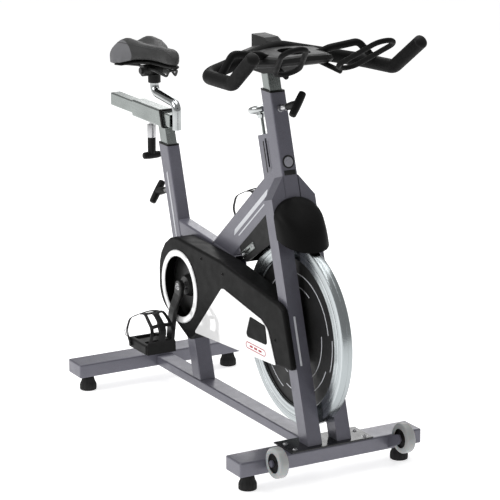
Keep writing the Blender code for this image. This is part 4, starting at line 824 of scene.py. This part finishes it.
flywheel()
brake_shield()
saddle_post()
knob()
pull_pin("handlebar_pin", lean(0.7584, HEAD_FRONT), FORWARD, "bar_pin")
pull_pin("seat_height_pin", lean(0.6216, SEAT_FRONT - 0.0502), -FORWARD, "seat_pin")
slider_lock()
feet()
transport_wheels()


# ---------------------------------------------------------------- guard, badge and plates
def guard_details():
    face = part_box("drive_guard_outer")[0].y
    for k, (x, z) in enumerate(((-0.051, 0.432), (0.320, 0.317), (0.060, 0.4190))):
        screw(f"guard_screw_{k + 1}", (x, face, z), (0, -1, 0), 0.0036, look=PLASTIC)
    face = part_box("guard_panel")[0].y
    inlay = rounded_outline([(0.2020, 0.3475), (0.2775, 0.3426), (0.2874, 0.2954), (0.1810, 0.2918)], 0.009)
    piece("panel_inlay", raised(inlay, on_side(face, -1), 0.0007), GUARD, "frame")
    left, right, low, high = 0.1830, 0.2780, 0.2640, 0.2790
    radius = (high - low) / 2
    ring = []
    for end, x in ((1, right - radius), (-1, left + radius)):
        for k in range(13):
            angle = -math.pi / 2 + math.pi * k / 12
            ring.append(Vector((x + end * radius * math.cos(angle), face - 0.0002,
                                (low + high) / 2 + end * radius * math.sin(angle))))
    piece("panel_oval", swept(ring, band_section(0.0020, 0.0007), closed=True, hint=(0, -1, 0)), RED, "frame")
    for k in range(3):
        bar = rounded_outline([(0.201 + 0.0215 * k, 0.2690), (0.216 + 0.0215 * k, 0.2690),
                               (0.216 + 0.0215 * k, 0.2740), (0.201 + 0.0215 * k, 0.2740)], 0.0018, 3)
        piece(f"panel_dash_{k + 1}", raised(bar, on_side(face, -1), 0.0004, 0.0001), RED, "frame")


def badge():
    """Plain round badge of concentric rings, with a small dark plate under it."""
    a = 0.735 * math.cos(LEAN) - 0.247 * math.sin(LEAN)
    centre = lean(a, HEAD_FRONT)
    rim = [(0.0162, -0.0001), (0.0162, 0.0008), (0.0156, 0.0013), (0.0140, 0.0013), (0.0136, 0.0007),
           (0.0, 0.0007)]
    piece("badge_rim", lathed(rim, centre, FORWARD, 48), DARK_PAINT, "frame")
    rings = [(0.0122, 0.0006), (0.0122, 0.0010), (0.0116, 0.0013), (0.0092, 0.0013), (0.0086, 0.0008),
             (0.0064, 0.0008), (0.0058, 0.0013), (0.0030, 0.0013), (0.0025, 0.0009), (0.0, 0.0009)]
    piece("badge_disc", lathed(rings, centre, FORWARD, 48), BADGE, "frame")
    plate = rounded_outline([(-0.0155, -0.0320), (0.0155, -0.0320), (0.0155, -0.0200), (-0.0155, -0.0200)],
                            0.0015)
    piece("badge_plate", raised(plate, on_front(a, HEAD_FRONT), 0.0007), DARK_PAINT, "frame")


def housing_plate():
    """Bright plate with two screws on the near side of the brake housing."""
    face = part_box("brake_housing")[0].y
    start, end = Vector((0.0700, 0.0, 0.4620)), Vector((0.1310, 0.0, 0.5052))
    along = (end - start).normalized()
    across = Vector((-along.z, 0.0, along.x))
    middle = (start + end) / 2

    def to_space(u, v, h):
        return middle + along * u + across * v + Vector((0.0, face - h, 0.0))

    half = (end - start).length / 2
    outline = rounded_outline([(-half, -0.0085), (half, -0.0085), (half, 0.0085), (-half, 0.0085)], 0.002)
    piece("housing_plate", raised(outline, to_space, 0.0014), SILVER_ALONG, "frame")
    for k, u in enumerate((-half + 0.008, half - 0.008)):
        screw(f"housing_screw_{k + 1}", to_space(u, 0.0, 0.0014), (0, -1, 0), 0.0034)
    slot = rounded_outline([(-0.016, -0.0022), (0.016, -0.0022), (0.016, 0.0022), (-0.016, 0.0022)], 0.002)
    piece("housing_slot", raised(slot, to_space, 0.0016, 0.0001), PLASTIC, "frame")


def stripes():
    """Plain pale stripes on the tubes."""
    down = math.radians(40.3)
    along = Vector((math.cos(down), 0.0, math.sin(down)))
    across = Vector((-along.z, 0.0, along.x))
    for word, side in (("right", -1), ("left", 1)):
        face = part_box("down_tube")[0 if side < 0 else 1].y
        for k, (start, end, height, width) in enumerate(((0.345, 0.560, 0.3760, 0.0110),
                                                         (0.360, 0.560, 0.3600, 0.0035))):
            def to_space(u, v, h):
                return along * u + across * v + Vector((0.0, face + side * h, 0.0))

            slant = width * 0.7
            corners = [(start - slant, height - width / 2), (end - slant, height - width / 2),
                       (end + slant, height + width / 2), (start + slant, height + width / 2)]
            outline = rounded_outline(corners, 0.0012, 3)
            stripe = raised(outline, to_space, PRINT_THICK, PRINT_EDGE)
            piece(f"{word}_down_stripe_{k + 1}", stripe, PRINT, "frame")
        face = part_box("seat_tube")[0 if side < 0 else 1].y

        def beside(u, v, h):
            return lean(u, v, face + side * h)

        middle = SEAT_FRONT - 0.0251
        corners = [(0.474, middle - 0.0032), (0.664, middle - 0.0032), (0.668, middle + 0.0032),
                   (0.470, middle + 0.0032)]
        outline = rounded_outline(corners, 0.0012, 3)
        stripe = raised(outline, beside, PRINT_THICK, PRINT_EDGE)
        piece(word + "_seat_stripe", stripe, PRINT, "frame")
    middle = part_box("right_fork_leg")[0].y + 0.0140
    outline = rounded_outline([(middle - 0.0026, -0.060), (middle + 0.0026, -0.060), (middle + 0.0026, 0.060),
                               (middle - 0.0026, 0.060)], 0.0012, 3)
    stripe = raised(outline, on_front(0.200, HEAD_FRONT), PRINT_THICK, PRINT_EDGE)
    piece("fork_stripe", stripe, PRINT, "frame")


def wheel_lines():
    """Open circular arcs on both faces of the flywheel's web."""
    arcs = ((0.150, 12, 96), (0.150, 132, 216), (0.150, 252, 336), (0.118, 60, 130), (0.118, 180, 250),
            (0.118, 300, 370), (0.166, 100, 128), (0.166, 220, 248), (0.166, 340, 368))
    for word, side in (("right", -1), ("left", 1)):
        bm = bmesh.new()
        for radius, start, end in arcs:
            depth = 0.0065 - 0.001 * (radius - BOSS_OUTER) / (RIM_INNER - BOSS_OUTER)
            count = max(8, (end - start) // 3)
            path = []
            for k in range(count + 1):
                angle = math.radians(start + (end - start) * k / count)
                path.append(AXLE + Vector((radius * math.cos(angle), side * (depth + 0.0001),
                                           radius * math.sin(angle))))
            swept(path, band_section(0.0026, 0.0006), hint=(0, side, 0), bm=bm)
        piece(word + "_wheel_lines", bm, PRINT, "flywheel_assembly")


def sleeve_cap():
    """Black plastic collar round the front end of the slider's sleeve."""
    y, z = 0.0209, 0.0227
    outline = rounded_outline([(-y, -z), (y, -z), (y, z), (-y, z)], 0.0046, 4)
    loops = []
    for b, grow in ((-0.1392, 0.0), (-0.1390, 0.0009), (-0.1334, 0.0009), (-0.1318, 0.0003),
                    (-0.1318, -0.0036), (-0.1330, -0.0038)):
        loop = []
        for u, v in outline:
            height = 0.7285 + v * (1 + grow / z)
            x = (b - height * math.sin(LEAN)) / math.cos(LEAN)
            loop.append(Vector((x, u * (1 + grow / y), height)))
        loops.append(loop)
    piece("sleeve_collar", skin(loops, capped=False), PLASTIC, "seat_column")


def rod_slot():
    """Dark slot in the near side of the rod's duct."""
    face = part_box("head_tube")[0].y
    low, high = 0.612, 0.690
    outline = rounded_outline([(low, 0.3872), (high, 0.3872), (high, 0.3922), (low, 0.3922)], 0.002, 3)
    for side in (-1, 1):
        def beside(u, v, h, side=side):
            return lean(u, v, side * (abs(face) - 0.0001 + h))

        word = "right" if side < 0 else "left"
        piece(word + "_duct_slot", raised(outline, beside, 0.0003, 0.0001), PLASTIC, "frame")


def base_bolts():
    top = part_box("front_base_plate")[1].z
    for k, (x, y) in enumerate(((0.4100, -0.0980), (0.4560, -0.0980), (0.4100, 0.0980), (0.4560, 0.0980))):
        screw(f"plate_bolt_{k + 1}", (x, y, top), (0, 0, 1), 0.0052)
    screw("beam_screw", (-0.0940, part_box("center_beam")[0].y, 0.4600), (0, -1, 0), 0.0030)


guard_details()
badge()
housing_plate()
stripes()
wheel_lines()
sleeve_cap()
rod_slot()
base_bolts()


# ---------------------------------------------------------------- floor, light and camera
def stage_and_light():
    bm = bmesh.new()
    bmesh.ops.create_grid(bm, x_segments=1, y_segments=1, size=40.0)
    mesh = bpy.data.meshes.new("floor")
    bm.to_mesh(mesh)
    bm.free()
    floor = bpy.data.objects.new("floor", mesh)
    bpy.context.scene.collection.objects.link(floor)
    ground = Look("pale_floor", 0.0)
    ground.set("Base Color", ground.mix(ground.spread(ground.noise(1.5, 3.0), 0.0, 1.0), (0.74, 0.74, 0.74),
                                        (0.78, 0.78, 0.78)))
    ground.set("Roughness", ground.spread(ground.noise(8.0, 4.0), 0.75, 0.9))
    ground.set("Emission Color", (1.0, 1.0, 1.0, 1.0))
    ground.set("Emission Strength", FLOOR_GLOW)
    ground.bump(ground.noise(300.0, 2.0), 0.0002)
    mesh.materials.append(ground.material)

    world = bpy.data.worlds.new("studio")
    world.use_nodes = True
    background = world.node_tree.nodes["Background"]
    background.inputs["Color"].default_value = (1.0, 1.0, 1.0, 1.0)
    background.inputs["Strength"].default_value = WORLD_LIGHT
    bpy.context.scene.world = world

    def softbox(name, location, target, size, power):
        light = bpy.data.lights.new(name, "AREA")
        light.shape = "RECTANGLE"
        light.size, light.size_y = size
        light.energy = power
        lamp = bpy.data.objects.new(name, light)
        lamp.location = location
        aim = Vector(target) - Vector(location)
        lamp.rotation_euler = aim.to_track_quat("-Z", "Y").to_euler()
        bpy.context.scene.collection.objects.link(lamp)

    softbox("key", (-0.6, -3.2, 2.6), (0.0, 0.0, 0.6), (2.6, 1.8), 62.0)
    softbox("top", (-0.3, 0.4, 3.6), (0.0, 0.0, 0.4), (3.0, 3.0), 78.0)
    softbox("back", (-3.0, 2.2, 2.2), (0.0, 0.0, 0.6), (1.8, 1.8), 22.0)


def camera():
    data = bpy.data.cameras.new("camera")
    data.sensor_width = 36.0
    data.lens = 174.3
    data.clip_end = 100.0
    eye = bpy.data.objects.new("camera", data)
    eye.location = Vector((5.1347, -2.8829, 2.0517)) + SHIFT
    back = Vector((0.8390, -0.4773, 0.2613))
    eye.rotation_euler = (-back).to_track_quat("-Z", "Y").to_euler()
    bpy.context.scene.collection.objects.link(eye)
    bpy.context.scene.camera = eye
    bpy.context.scene.view_settings.view_transform = "Standard"


stage_and_light()
camera()
